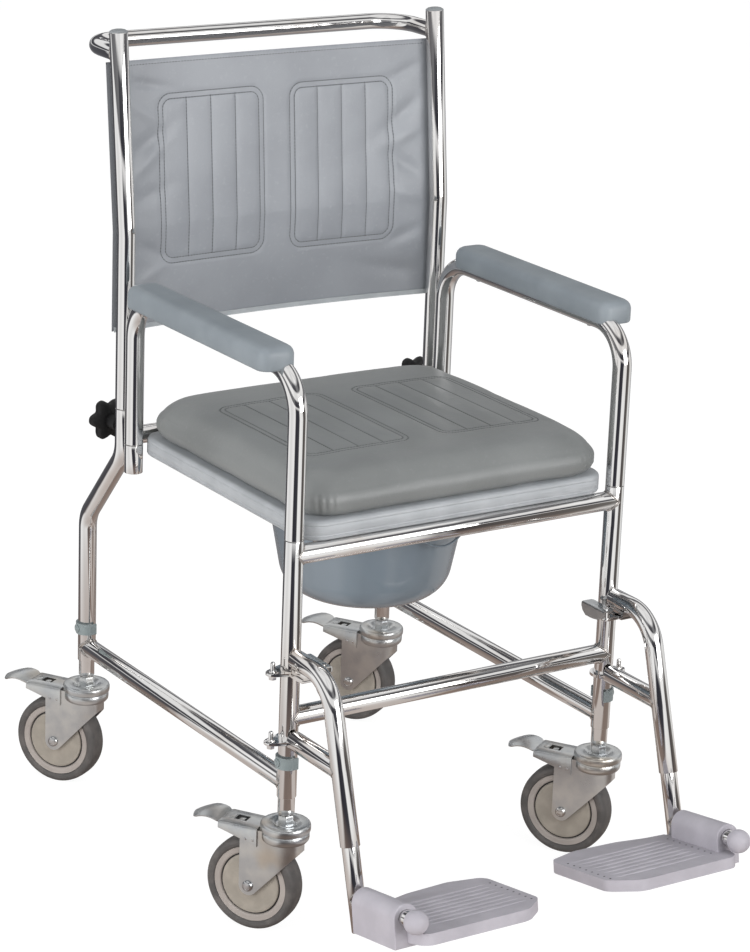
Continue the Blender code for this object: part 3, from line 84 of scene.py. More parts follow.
# shader maths: one socket, with Python's own operators
class Wire:
    def __init__(self, nodes, socket):
        self.nodes = nodes
        self.socket = socket

    def maths(self, operation, *values):
        return self.nodes.add("ShaderNodeMath", {"operation": operation}, dict(enumerate(values)))

    def __add__(self, other):
        return self.maths("ADD", self, other)

    def __mul__(self, other):
        return self.maths("MULTIPLY", self, other)

    def __sub__(self, other):
        return self.maths("SUBTRACT", self, other)

    def __rsub__(self, other):
        return self.maths("SUBTRACT", other, self)

    def __truediv__(self, other):
        return self.maths("DIVIDE", self, other)

    def __pow__(self, other):
        return self.maths("POWER", self, other)

    def __abs__(self):
        return self.maths("ABSOLUTE", self)

    __radd__ = __add__
    __rmul__ = __mul__

    def least(self, other):
        return self.maths("MINIMUM", self, other)

    def most(self, other):
        return self.maths("MAXIMUM", self, other)

    def fade(self, low, high):
        settings = {"interpolation_type": "SMOOTHSTEP"}
        return self.nodes.add("ShaderNodeMapRange", settings, {0: self, 1: low, 2: high})


class Nodes:
    def __init__(self, tree):
        self.tree = tree

    def add(self, kind, settings=None, inputs=None, output=0):
        made = self.tree.nodes.new(kind)
        for key, value in (settings or {}).items():
            if key == "stops":
                ramp = made.color_ramp
                while len(ramp.elements) < len(value):
                    ramp.elements.new(0.5)
                for element, (position, colour) in zip(ramp.elements, value):
                    element.position = position
                    element.color = (*colour, 1.0)
            else:
                setattr(made, key, value)
        for key, value in (inputs or {}).items():
            if isinstance(value, Wire):
                self.tree.links.new(value.socket, made.inputs[key])
            else:
                made.inputs[key].default_value = value
        return Wire(self, made.outputs[output])

    def mix(self, factor, first, second, blend="MIX"):
        settings = {"data_type": "RGBA", "blend_type": blend}
        return self.add("ShaderNodeMix", settings, {0: factor, 6: first, 7: second}, 2)


def screen(red, green, blue):
    # a colour as a screen shows it, made linear
    values = [v / 255 for v in (red, green, blue)]
    return (*[((v + 0.055) / 1.055) ** 2.4 if v > 0.04 else v / 12.92 for v in values], 1.0)


class Finish(Nodes):
    def __init__(self, name, **constants):
        self.material = bpy.data.materials.new(name)
        self.material.use_nodes = True
        super().__init__(self.material.node_tree)
        self.shader = self.tree.nodes["Principled BSDF"]
        for key, value in constants.items():
            self.shader.inputs[key.replace("_", " ")].default_value = value
        self.place = self.add("ShaderNodeTexCoord", output="Object")

    def feed(self, name, wire):
        self.tree.links.new(wire.socket, self.shader.inputs[name])

    def paint(self, share, first, second):
        self.feed("Base Color", self.mix(share, first, second))

    def noise(self, scale, detail=3.0, stretch=(1, 1, 1), rough=0.5):
        place = self.place
        if stretch != (1, 1, 1):
            place = self.add("ShaderNodeMapping", None, {"Vector": self.place, "Scale": stretch})
        inputs = {"Vector": place, "Scale": scale, "Detail": detail, "Roughness": rough}
        return self.add("ShaderNodeTexNoise", None, inputs)

    def cells(self, scale):
        inputs = {"Vector": self.place, "Scale": scale}
        return self.add("ShaderNodeTexVoronoi", {"feature": "F1"}, inputs)

    def axis(self, which):
        return self.add("ShaderNodeSeparateXYZ", None, {0: self.place}, which)

    def bump(self, height, distance, strength=1.0):
        inputs = {"Height": height, "Distance": distance, "Strength": strength}
        self.feed("Normal", self.add("ShaderNodeBump", None, inputs))

    def sewnLine(self, across, along, centre, half, radius, width):
        # 1 on the outline of a rounded rectangle, 0 away from it
        overX = abs(across - centre[0]) - (half[0] - radius)
        overY = abs(along - centre[1]) - (half[1] - radius)
        outX, outY = overX.most(0.0), overY.most(0.0)
        outside = (outX * outX + outY * outY) ** 0.5
        distance = outside + overX.most(overY).least(0.0) - radius
        return 1 - abs(distance).fade(0.0, width)


# every tone as a screen shows it: the base, a second that clouds it, and a third where it is worn
tones = {
    "chrome": ((232, 231, 230), (222, 216, 211)),
    "weld": ((176, 170, 166), (214, 210, 206)),
    "zinc": ((198, 201, 203), (218, 219, 217)),
    "warmZinc": ((205, 190, 168),),
    "steel": ((196, 197, 199), (218, 217, 214)),
    "tyre": ((78, 76, 75), (97, 93, 91)),
    "hub": ((142, 136, 127), (155, 148, 138)),
    "hubRim": ((150, 143, 138), (161, 154, 149)),
    "clip": ((122, 132, 134), (132, 142, 143)),
    "plug": ((126, 130, 133), (138, 142, 145)),
    "pad": ((122, 130, 136), (134, 142, 148)),
    "board": ((156, 160, 164), (168, 172, 176), (176, 180, 184)),
    "pan": ((104, 115, 124), (117, 128, 137)),
    "knob": ((8, 8, 9), (14, 14, 15)),
    "footplate": ((166, 163, 171), (176, 173, 181)),
    # painted shade: the near-black tone for the wheel's core and the footplate's dimples
    "paintedShade": ((38, 38, 40), (52, 51, 52)),
    "back": ((134, 138, 144), (147, 151, 157), (164, 168, 174)),
    "seat": ((114, 117, 117), (125, 128, 128), (138, 141, 141)),
    "hem": ((158, 163, 167), (174, 179, 182)),
    "thread": ((74, 77, 80), (100, 103, 106)),
    "seatThread": ((60, 63, 64), (92, 95, 96)),
    "hemThread": ((196, 199, 202), (216, 218, 220)),
}
tones = {part: [screen(*tone) for tone in row] for part, row in tones.items()}
chromeLook = {"rough": 0.035, "smudge": 0.05, "streak": 0.02, "ripple": 0.0011}


def chromeFinish():
    finish = Finish("chromePlate", Metallic=1.0)
    look = chromeLook
    film = finish.noise(9.0, 5.0, (1, 1, 0.5)).fade(0.50, 0.78)
    streak = finish.noise(260.0, 2.0, (1, 1, 0.06))
    finish.paint(film, *tones["chrome"])
    finish.feed("Roughness", look["rough"] + film * look["smudge"] + streak * look["streak"])
    finish.bump(finish.noise(26.0, 1.0, (1, 1, 0.45)), look["ripple"], 0.35)
    return finish.material


def weldFinish():
    finish = Finish("weldBead", Metallic=1.0)
    grain = finish.noise(420.0, 2.0)
    finish.paint(grain, *tones["weld"])
    finish.feed("Roughness", 0.14 + grain * 0.14)
    finish.bump(grain, 0.0004, 0.5)
    return finish.material


def zincFinish(name, part, rough):
    finish = Finish(name, Metallic=1.0)
    cloud = finish.noise(38.0, 4.0)
    brushed = finish.noise(330.0, 2.0, (0.25, 1, 1))
    warm = finish.noise(13.0, 2.0).fade(0.52, 0.72)
    finish.paint(warm * 0.6, finish.mix(cloud.fade(0.35, 0.7), *tones[part]), *tones["warmZinc"])
    finish.feed("Roughness", rough + cloud * 0.14 + brushed * 0.06)
    finish.bump(brushed + cloud, 0.0003, 0.25)
    return finish.material


def rubberFinish():
    finish = Finish("greyTyre")
    dust = finish.noise(60.0, 5.0)
    finish.paint(dust.fade(0.4, 0.75), *tones["tyre"])
    finish.feed("Roughness", 0.48 + dust * 0.2)
    finish.bump(finish.noise(900.0, 2.0), 0.0003, 0.25)
    return finish.material


def plasticFinish(name, part, rough, grain=700.0, depth=0.25, mottle=30.0):
    # moulded plastic: a fine grain, and slow clouds that change its tone and gloss a little
    finish = Finish(name)
    cloud = finish.noise(mottle, 4.0)
    finish.paint(cloud.fade(0.35, 0.72), *tones[part])
    finish.feed("Roughness", rough + cloud * 0.12)
    finish.bump(finish.noise(grain, 2.0), 0.0002, depth)
    return finish.material


def boardFinish():
    # the seat board's skirt has fine drag lines along it from its mould
    finish = Finish("seatBoardPlastic")
    base, second, dragged = tones["board"]
    cloud = finish.noise(22.0, 4.0)
    drag = finish.noise(30.0, 3.0, (1, 1, 18))
    tone = finish.mix(cloud.fade(0.35, 0.7), base, second)
    finish.paint(drag.fade(0.5, 0.75) * 0.5, tone, dragged)
    finish.feed("Roughness", 0.36 + drag * 0.16)
    finish.bump(drag + finish.noise(700.0, 2.0) * 0.3, 0.0004, 0.3)
    return finish.material


def panFinish():
    finish = Finish("panPlastic", Coat_Roughness=0.08)
    flow = finish.noise(9.0, 3.0, (1, 1, 0.4))
    finish.paint(flow.fade(0.35, 0.7), *tones["pan"])
    finish.feed("Roughness", 0.16 + finish.noise(40.0, 3.0) * 0.10)
    finish.feed("Coat Weight", 0.35 + flow * 0.3)
    finish.bump(finish.noise(55.0, 2.0), 0.0006, 0.25)
    return finish.material


# the sewn panels: two on the back and two on the seat, each with a double border and three seams
backSewing = {
    "centreX": 0.104, "middle": 0.893, "half": (0.0830, 0.1150), "radius": 0.020, "border": 0.0075,
    "seams": (-0.0385, 0.0, 0.0385), "seamDepth": 0.0010, "fullness": 0.0011,
    "inset": 0.0,  # how far the cover sits to one side
    "paintedPostShade": 0.8, "paintedPostShadeFrom": (0.2495, 0.2515),  # painted shade on the strip beside the posts, where the cover turns back round them
    "shade": 0.45, "lineWidth": 0.0011,  # painted shade along the pressed line under each seam
    "paintedLowShade": (0.690, 0.800), "paintedLowShadeDepth": 0.16,  # painted shade, darker towards the bottom
}
seatSewing = {
    "centreX": 0.104, "middle": 0.201, "half": (0.0800, 0.1190), "radius": 0.018, "border": 0.0070,
    "seams": (-0.0385, 0.0, 0.0385), "seamDepth": 0.0005, "fullness": 0.0003,
    "inset": 0.003,
    "paintedPostShade": 0.0, "paintedPostShadeFrom": (0.2495, 0.2515),
    "shade": 0.5, "lineWidth": 0.0021,
    "paintedLowShade": (-0.30, -0.20), "paintedLowShadeDepth": 0.16,
}


def vinylFinish(name, part, rough, sewing, upAxis, offset):
    # leathery vinyl: pebbled grain, soft clouding, a pressed line wherever it is sewn, and painted shade
    # along each sewn line, beside the posts and towards the bottom
    finish = Finish(name, Sheen_Weight=0.08, Sheen_Roughness=0.4)
    base, second, worn = tones[part]
    # half the base tone: the colour of all the painted shade below
    paintedShade = tuple(v * 0.5 for v in base[:3]) + (1.0,)
    cloud = finish.noise(7.0, 4.0)
    fine = finish.noise(170.0, 4.0)
    across = abs(finish.axis(0) - (shift.x + sewing["inset"]))
    along = finish.axis(upAxis) - offset
    centre = (sewing["centreX"], sewing["middle"])
    radius, border, width = sewing["radius"], sewing["border"], sewing["lineWidth"]
    outer = sewing["half"]
    inner = (outer[0] - border, outer[1] - border)
    line = finish.sewnLine(across, along, centre, outer, radius, width)
    line = line.most(finish.sewnLine(across, along, centre, inner, radius - border, width))
    within = 1 - abs(along - centre[1]).fade(inner[1] - 0.0006, inner[1] + 0.0004)
    for seam in sewing["seams"]:
        line = line.most((1 - abs(across - (centre[0] + seam)).fade(0.0, width)) * within)
    tone = finish.mix(cloud.fade(0.3, 0.7), base, second)
    tone = finish.mix(fine.fade(0.55, 0.85) * 0.35, tone, worn)
    # painted shade on the strip beside the posts
    tone = finish.mix(across.fade(*sewing["paintedPostShadeFrom"]) * sewing["paintedPostShade"], tone, paintedShade)
    # painted shade towards the bottom
    tone = finish.mix((1 - along.fade(*sewing["paintedLowShade"])) * sewing["paintedLowShadeDepth"], tone, paintedShade)
    # painted shade along each sewn line
    finish.paint(line * sewing["shade"], tone, paintedShade)
    finish.feed("Roughness", rough + cloud * 0.10 + line * 0.2)
    finish.bump(finish.cells(640.0) * 0.16 + fine * 0.35 - line * 0.9, 0.0009, 0.55)
    return finish.material


def threadFinish(name, part):
    finish = Finish(name, Roughness=0.62)
    finish.paint(finish.noise(1600.0, 2.0), *tones[part])
    return finish.material


finishes = {
    "chrome": chromeFinish(),
    "weld": weldFinish(),
    "zinc": zincFinish("zincPlate", "zinc", 0.20),
    "steel": zincFinish("boltSteel", "steel", 0.12),
    "tyre": rubberFinish(),
    "hub": plasticFinish("hubPlastic", "hub", 0.38, mottle=55.0),
    "hubRim": plasticFinish("rimPlastic", "hubRim", 0.34),
    "clip": plasticFinish("clipPlastic", "clip", 0.36),
    "plug": plasticFinish("plugPlastic", "plug", 0.34),
    "pad": plasticFinish("armPadSkin", "pad", 0.36, 900.0, 0.3, 16.0),
    "board": boardFinish(),
    "pan": panFinish(),
    "knob": plasticFinish("knobPlastic", "knob", 0.50),
    "footplate": plasticFinish("footplatePlastic", "footplate", 0.46),
    # painted shade in recesses: the wheel's core and the footplate's dimples
    "paintedShade": plasticFinish("darkRecess", "paintedShade", 0.55),
    "back": vinylFinish("backVinyl", "back", 0.36, backSewing, 2, shift.z),
    "seat": vinylFinish("seatVinyl", "seat", 0.34, seatSewing, 1, shift.y),
    "hem": plasticFinish("hemBinding", "hem", 0.5),
    "thread": threadFinish("greyThread", "thread"),
    "seatThread": threadFinish("seatThread", "seatThread"),
    "hemThread": threadFinish("paleThread", "hemThread"),
}
print("materials made:", len(finishes))


# mesh helpers
def linked(name, data):
    item = bpy.data.objects.new(name, data)
    bpy.context.scene.collection.objects.link(item)
    return item


def baked(piece):
    # the mesh that a piece's modifiers make, which are then gone
    bpy.context.view_layer.update()
    graph = bpy.context.evaluated_depsgraph_get()
    mesh = bpy.data.meshes.new_from_object(piece.evaluated_get(graph))
    piece.modifiers.clear()
    return mesh


def ring(bm, centre, across, up, radius, count):
    turns = [2 * math.pi * k / count for k in range(count)]
    return [bm.verts.new(centre + radius * (math.cos(t) * across + math.sin(t) * up)) for t in turns]


def bridge(bm, first, second, closed=True):
    count = len(first)
    for k in range(count if closed else count - 1):
        n = (k + 1) % count
        bm.faces.new((first[k], first[n], second[n], second[k]))


def walls(bm, loops, ends=False):
    # joins each loop to the next, and closes both ends if asked
    for one, two in zip(loops, loops[1:]):
        bridge(bm, one, two)
    if ends:
        bm.faces.new(loops[0])
        bm.faces.new(loops[-1])
    return bm


def flatLoop(bm, outline, z):
    return [bm.verts.new((a, b, z)) for a, b in outline]


def pathFrames(points):
    # each point of a path with the two directions square to it, carried along without twist
    points = [Vector(p) for p in points]
    heading = (points[1] - points[0]).normalized()
    across = heading.cross(Vector((1, 0, 0)))
    if across.length < 0.5:
        across = heading.cross(Vector((0, 0, 1)))
    frames = []
    for k, point in enumerate(points):
        back = (point - points[k - 1]).normalized() if k else heading
        ahead = (points[k + 1] - point).normalized() if k < len(points) - 1 else back
        tangent = (back + ahead).normalized()
        across = (across - tangent * across.dot(tangent)).normalized()
        frames.append((point, across, tangent.cross(across)))
    return frames


def filleted(points, radius, steps=10):
    # a path whose bends are arcs of one radius
    points = [Vector(p) for p in points]
    path = [points[0]]
    for before, corner, after in zip(points, points[1:], points[2:]):
        back, ahead = (before - corner).normalized(), (after - corner).normalized()
        turn = math.pi - back.angle(ahead)
        middle = corner + (back + ahead).normalized() * radius / math.cos(turn / 2)
        run = radius * math.tan(turn / 2)
        start, end = corner + back * run - middle, corner + ahead * run - middle
        for k in range(steps + 1):
            path.append(middle + start.slerp(end, k / steps, start).normalized() * radius)
    return path + [points[-1]]


def blunt(radius, lip=0.0008):
    # each end is given as rings of (distance in from the end, radius)
    return [(0.0, radius - lip), (lip * 0.3, radius - lip * 0.3), (lip, radius)]


def openEnd(radius, depth=0.016, wall=tube["wall"], lip=0.0006):
    mouth = radius - wall
    return [(depth, mouth), (0.0, mouth)] + blunt(radius, lip)


def spigotEnd(radius, length, thin=tube["spigot"]):
    start = [(-length, thin - 0.002), (-length + 0.002, thin), (0.0004, thin)]
    return start + [(0.0004, radius - 0.0007), (0.0012, radius)]


def sweep(path, radius, start=None, end=None, count=tube["sides"]):
    # a closed tube along a path
    start, end = start or blunt(radius), end or blunt(radius)
    frames = pathFrames(path)
    first, across, up = frames[0]
    heading = (frames[1][0] - first).normalized()
    rings = [(first + heading * d, across, up, r) for d, r in start]
    rings += [(p, a, u, radius) for p, a, u in frames[1:-1]]
    last, across, up = frames[-1]
    heading = (frames[-2][0] - last).normalized()
    rings += [(last + heading * d, across, up, r) for d, r in reversed(end)]
    bm = bmesh.new()
    return walls(bm, [ring(bm, p, a, u, r, count) for p, a, u, r in rings], True)


def bar(start, end, radius, startEnd=None, endEnd=None, count=tube["sides"]):
    return sweep([start, end], radius, startEnd, endEnd, count)


def pipe(start, end, radius):
    # a bar that is open at both ends
    return bar(start, end, radius, openEnd(radius), openEnd(radius))


def turned(profile, count=48, matrix=None):
    # a solid turned round Z from (radius, height) points
    bm = bmesh.new()
    loops = []
    for radius, height in profile:
        centre = Vector((0, 0, height))
        if radius == 0:
            loops.append([bm.verts.new(centre)])
        else:
            loops.append(ring(bm, centre, Vector((1, 0, 0)), Vector((0, 1, 0)), radius, count))
    for one, two in zip(loops, loops[1:]):
        if len(one) == 1 or len(two) == 1:
            pole, loop = (one[0], two) if len(one) == 1 else (two[0], one)
            for k in range(len(loop)):
                bm.faces.new((pole, loop[k], loop[(k + 1) % len(loop)]))
        else:
            bridge(bm, one, two)
    if len(loops[0]) > 1 and len(loops[-1]) > 1:
        bridge(bm, loops[-1], loops[0])
    if matrix:
        bm.transform(matrix)
    return bm


def lifted(profile, height):
    return [(radius, height + rise) for radius, rise in profile]


def bothWays(profile):
    return profile + [(radius, -height) for radius, height in profile[::-1]]


def slab(outline, low, high, edge=0.0008, segments=2):
    # a flat outline given thickness, with softened edges
    bm = bmesh.new()
    loops = [flatLoop(bm, outline, level) for level in (low, high)]
    bridge(bm, *loops)
    caps = [bm.faces.new(loop) for loop in loops]
    rims = list({e for cap in caps for e in cap.edges})
    bmesh.ops.bevel(bm, geom=rims, offset=edge, segments=segments, profile=0.5, affect="EDGES")
    return bm


def block(low, high, bottom, top, edge):
    (x0, y0), (x1, y1) = low, high
    return slab([(x0, y0), (x1, y0), (x1, y1), (x0, y1)], bottom, top, edge)


def sheetMetal(rows, thickness, gap=None):
    # a bent plate from a grid of points; gap(i, j) leaves a hole
    bm = bmesh.new()
    grid = [[bm.verts.new(p) for p in row] for row in rows]
    for i, (low, high) in enumerate(zip(grid, grid[1:])):
        for j in range(len(low) - 1):
            if not (gap and gap(i, j)):
                bm.faces.new((low[j], low[j + 1], high[j + 1], high[j]))
    bmesh.ops.recalc_face_normals(bm, faces=bm.faces)
    bmesh.ops.solidify(bm, geom=bm.faces[:], thickness=thickness)
    return bm


def merged(*shapes):
    whole = bmesh.new()
    for shape in shapes:
        mesh = bpy.data.meshes.new("part")
        shape.to_mesh(mesh)
        shape.free()
        whole.from_mesh(mesh)
        bpy.data.meshes.remove(mesh)
    return whole


def addPiece(name, bm, body, finish, slotName, *nodes, sharp=35.0, matrix=None):
    if matrix:
        bm.transform(matrix)
    bmesh.ops.remove_doubles(bm, verts=bm.verts, dist=1e-6)
    bmesh.ops.recalc_face_normals(bm, faces=bm.faces)
    mesh = bpy.data.meshes.new(name)
    bm.to_mesh(mesh)
    bm.free()
    mesh.transform(Matrix.Translation(shift))
    return addMesh(name, mesh, body, finish, slotName, *nodes, sharp=sharp)


def addMesh(name, mesh, body, finish, slotName, *nodes, sharp=35.0):
    mesh.materials.clear()
    mesh.materials.append(finishes[finish])
    mesh.shade_smooth()
    mesh.set_sharp_from_angle(angle=math.radians(sharp))
    piece = linked(name, mesh)
    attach(piece, body)
    if nodes:
        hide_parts(*nodes)
    return piece


def arc(centre, radius, start, end, steps):
    turns = [math.radians(start + (end - start) * k / steps) for k in range(steps + 1)]
    return [(centre[0] + radius * math.cos(t), centre[1] + radius * math.sin(t)) for t in turns]


def roundedRectangle(low, high, radius, steps=8):
    left, right = low[0] + radius, high[0] - radius
    near, far = low[1] + radius, high[1] - radius
    path = []
    for k, centre in enumerate(((right, near), (right, far), (left, far), (left, near))):
        path += arc(centre, radius, 90 * k - 90, 90 * k, steps)
    return path


def stacked(low, high, levels, cornerAt, steps):
    # the sides of a rounded block from levels of (height, inset)
    bm = bmesh.new()
    loops = []
    for z, inset in levels:
        start, end = (low[0] + inset, low[1] + inset), (high[0] - inset, high[1] - inset)
        loops.append(flatLoop(bm, roundedRectangle(start, end, cornerAt(inset), steps), z))
    return walls(bm, loops), loops


beadLook = {"thick": 0.0015, "ripple": 0.16, "count": 56, "sides": 8}


def weldBead(joint, heading, legAxis, railRadius, legRadius):
    # the bead on the saddle where a rail meets a leg, with a welder's ripple along it
    look, count = beadLook, beadLook["count"]
    joint, heading, legAxis = Vector(joint), Vector(heading).normalized(), Vector(legAxis).normalized()
    across = heading.cross(legAxis)
    points = []
    for k in range(count):
        t = 2 * math.pi * k / count
        side = railRadius * math.cos(t)
        reach = math.sqrt(max(legRadius**2 - side**2, 0.0))
        points.append(joint + across * side + legAxis * railRadius * math.sin(t) + heading * reach)
    bm = bmesh.new()
    loops = []
    for k, point in enumerate(points):
        tangent = (points[(k + 1) % count] - points[k - 1]).normalized()
        out = (point - joint - heading * (point - joint).dot(heading)).normalized()
        up = tangent.cross(out).normalized()
        radius = look["thick"] * (1 + look["ripple"] * math.sin(k * math.pi * 0.8))
        loops.append(ring(bm, point, out, up, radius, look["sides"]))
    return walls(bm, loops + loops[:1])


def postY(z):
    # the back posts lean to the rear above their bend
    rise = chair["topPost"] - chair["bendPost"]
    return chair["postY"] + max(0.0, z - chair["bendPost"]) * chair["recline"] / rise


# geometry node trees
def groupTree(name, sizes):
    tree = bpy.data.node_groups.new(name, "GeometryNodeTree")
    for label, kind in {"Geometry": "Geometry", **sizes, "Finish": "Material"}.items():
        tree.interface.new_socket(label, in_out="INPUT", socket_type="NodeSocket" + kind)
    tree.interface.new_socket("Geometry", in_out="OUTPUT", socket_type="NodeSocketGeometry")
    nodes = Nodes(tree)
    entry = tree.nodes.new("NodeGroupInput")
    return nodes, {s.name: Wire(nodes, s) for s in entry.outputs if s.name}


def closeTree(nodes, given, inputs):
    # sets the instance on each point, makes it real and gives it its finish
    placed = nodes.add("GeometryNodeInstanceOnPoints", None, inputs)
    real = nodes.add("GeometryNodeRealizeInstances", None, {0: placed})
    painted = nodes.add("GeometryNodeSetMaterial", None, {"Geometry": real, "Material": given["Finish"]})
    leave = nodes.tree.nodes.new("NodeGroupOutput")
    nodes.tree.links.new(painted.socket, leave.inputs[0])
    return nodes.tree


def stitchTree():
    # short threads laid end to end along a seam, each a little longer or shorter than the last
    sizes = {"Spacing": "Float", "Thread Length": "Float", "Thread Radius": "Float", "Seed": "Int"}
    nodes, given = groupTree("stitchesAlongSeam", sizes)
    seam = nodes.add("GeometryNodeMeshToCurve", None, {0: given["Geometry"]})
    inputs = {"Curve": seam, "Length": given["Spacing"]}
    points = nodes.add("GeometryNodeCurveToPoints", {"mode": "LENGTH"}, inputs)
    turn = Wire(nodes, points.socket.node.outputs["Rotation"])
    thread = nodes.add("GeometryNodeMeshUVSphere", None, {"Segments": 6, "Rings": 4, "Radius": 1.0})
    inputs = {2: 0.88, 3: 1.08, "Seed": given["Seed"]}
    spread = nodes.add("FunctionNodeRandomValue", {"data_type": "FLOAT"}, inputs, 1)
    radius, length = given["Thread Radius"], given["Thread Length"] * 0.5 * spread
    scale = nodes.add("ShaderNodeCombineXYZ", None, {0: radius, 1: radius, 2: length})
    return closeTree(nodes, given, {"Points": points, "Instance": thread, "Rotation": turn, "Scale": scale})


def headTree():
    # domed heads on points, each facing the way that its point says
    nodes, given = groupTree("headsOnPoints", {"Radius": "Float", "Height": "Float"})
    facing = nodes.add("GeometryNodeInputNamedAttribute", {"data_type": "FLOAT_VECTOR"}, {"Name": "facing"})
    turn = nodes.add("FunctionNodeAlignRotationToVector", {"axis": "Z"}, {"Vector": facing})
    head = nodes.add("GeometryNodeMeshUVSphere", None, {"Segments": 16, "Rings": 8, "Radius": 1.0})
    inputs = {0: given["Radius"], 1: given["Radius"], 2: given["Height"]}
    scale = nodes.add("ShaderNodeCombineXYZ", None, inputs)
    dots = nodes.add("GeometryNodeMeshToPoints", None, {0: given["Geometry"]})
    return closeTree(nodes, given, {"Points": dots, "Instance": head, "Rotation": turn, "Scale": scale})


def ribTree():
    # low round-backed bars laid side by side along Y, from the first point of the mesh
    sizes = {"Count": "Int", "Pitch": "Float", "Length": "Float", "Width": "Float", "Height": "Float"}
    nodes, given = groupTree("ribsInRow", sizes)
    step = nodes.add("ShaderNodeCombineXYZ", None, {1: given["Pitch"]})
    inputs = {0: given["Geometry"], 1: nodes.add("GeometryNodeInputPosition")}
    first = nodes.add("GeometryNodeSampleIndex", {"data_type": "FLOAT_VECTOR"}, inputs)
    inputs = {"Count": given["Count"], "Start Location": first, "Offset": step}
    row = nodes.add("GeometryNodeMeshLine", None, inputs)
    rib = nodes.add("GeometryNodeMeshUVSphere", None, {"Segments": 12, "Rings": 10, "Radius": 1.0})
    inputs = {0: given["Length"], 1: given["Width"], 2: given["Height"]}
    scale = nodes.add("ShaderNodeCombineXYZ", None, inputs)
    return closeTree(nodes, given, {"Points": row, "Instance": rib, "Scale": scale})


trees = {"stitch": stitchTree(), "head": headTree(), "rib": ribTree()}


def grown(name, mesh, treeName, values, finish, body, slotName):
    # runs a tree on a base mesh and keeps the plain result as one piece
    base = linked(name + "Base", mesh)
    modifier = base.modifiers.new("grow", "NODES")
    modifier.node_group = trees[treeName]
    values = {**values, "Finish": finishes[finish]}
    for item in trees[treeName].interface.items_tree:
        if item.in_out == "INPUT" and item.name in values:
            modifier[item.identifier] = values[item.name]
    result = baked(base)
    bpy.data.objects.remove(base)
    return addMesh(name, result, body, finish, slotName, sharp=60.0)


def lineMesh(name, paths):
    # open or closed lines as edges; a path that ends on its first point is closed
    points, edges = [], []
    for path in paths:
        first = len(points)
        loop = (Vector(path[0]) - Vector(path[-1])).length < 1e-7
        kept = path[:-1] if loop else path
        points += [Vector(p) + shift for p in kept]
        edges += [(first + k, first + k + 1) for k in range(len(kept) - 1)]
        if loop:
            edges.append((len(points) - 1, first))
    mesh = bpy.data.meshes.new(name)
    mesh.from_pydata(points, edges, [])
    return mesh


def dotMesh(name, dots):
    mesh = bpy.data.meshes.new(name)
    mesh.from_pydata([Vector(p) + shift for p, _ in dots], [], [])
    facing = mesh.attributes.new("facing", "FLOAT_VECTOR", "POINT")
    facing.data.foreach_set("vector", [v for _, f in dots for v in Vector(f).normalized()])
    return mesh


# frame
frameLook = {
    "socketTop": 0.546, "socketBottom": 0.506,
    "joggleTop": 0.524, "joggleBottom": 0.406, "joggleBend": 0.045,
    "seamX": 0.0042, "seamRadius": 0.0026, "seamInset": 0.003,
    "panRailX": 0.185, "panRailRadius": 0.008, "tabThick": 0.0048, "tabRear": 0.007,
}


def addFrontLeg(side):
    x, z, radius = sides[side] * chair["legX"], chair["sideRail"], tube["radius"]
    leg = pipe((x, 0, chair["legBottom"]), (x, 0, chair["frontSeam"]), radius)
    rail = bar((x, 0.002, z), (x, chair["rearLegY"] - 0.002, z), radius)
    addPiece(f"frontLeg_{side}", merged(leg, rail), "frame", "chrome", "chrome", f"front_leg_{side}")


def addRearLeg(side):
    look, radius = frameLook, tube["radius"]
    x, far, near = sides[side] * chair["legX"], chair["rearLegY"], chair["postY"]
    path = [(x, far, chair["legBottom"]), (x, far, look["joggleBottom"])]
    path += [(x, near, look["joggleTop"]), (x, near, chair["rearSeam"])]
    leg = sweep(filleted(path, look["joggleBend"], 12), radius, openEnd(radius), openEnd(radius))
    y = chair["armRearY"]
    shapes = [leg, pipe((x, y, look["socketBottom"]), (x, y, look["socketTop"]), radius)]
    for sign in (-1, 1):  # the two seams of weld between leg and socket
        low = (x + sign * look["seamX"], (y + near) / 2, look["socketBottom"] + look["seamInset"])
        high = (low[0], low[1], look["socketTop"] - look["seamInset"])
        shapes.append(bar(low, high, look["seamRadius"], count=10))
    addPiece(f"rearLeg_{side}", merged(*shapes), "frame", "chrome", "chrome", f"rear_leg_{side}")


def addRails():
    look, radius, thin = frameLook, tube["radius"], frameLook["panRailRadius"]
    half, seat, post, up = chair["legX"], chair["seatRail"], chair["postY"], (0, 0, 1)
    rails = {
        "front_seat_rail": ("frontSeatRail", 0.0, seat),
        "front_lower_rail": ("frontLowerRail", 0.0, chair["lowerRail"]),
        "rear_seat_rail": ("rearSeatRail", post, chair["rearCross"]),
    }
    for node, (name, y, z) in rails.items():
        rail = bar((0.002 - half, y, z), (half - 0.002, y, z), radius)
        addPiece(name, rail, "frame", "chrome", "chrome", node)
    beads = []
    for side, sign in sides.items():
        x = sign * half
        for _, y, z in rails.values():
            beads.append(weldBead((x, y, z), (-sign, 0, 0), up, radius, radius))
        for y, heading in ((0, 1), (chair["rearLegY"], -1)):
            beads.append(weldBead((x, y, chair["sideRail"]), (0, heading, 0), up, radius, radius))
        x = sign * look["panRailX"]
        rail = bar((x, 0.004, seat), (x, post + thin, seat), thin, None, openEnd(thin), 24)
        left, right = sorted((x, x + sign * look["tabThick"]))
        under = chair["rearCross"] - radius + 0.001
        tab = block((left, post - thin), (right, post + look["tabRear"]), seat + 0.004, under, 0.0005)
        addPiece(f"panRail_{side}", merged(rail, tab), "frame", "chrome", "chrome", f"pan_rail_{side}")
        beads.append(weldBead((x, 0, seat), (0, 1, 0), (1, 0, 0), thin, radius))
    addPiece("weldBeads", merged(*beads), "frame", "weld", "chrome", sharp=60.0)


for side in sides:
    addFrontLeg(side)
    addRearLeg(side)
addRails()
print("frame made")


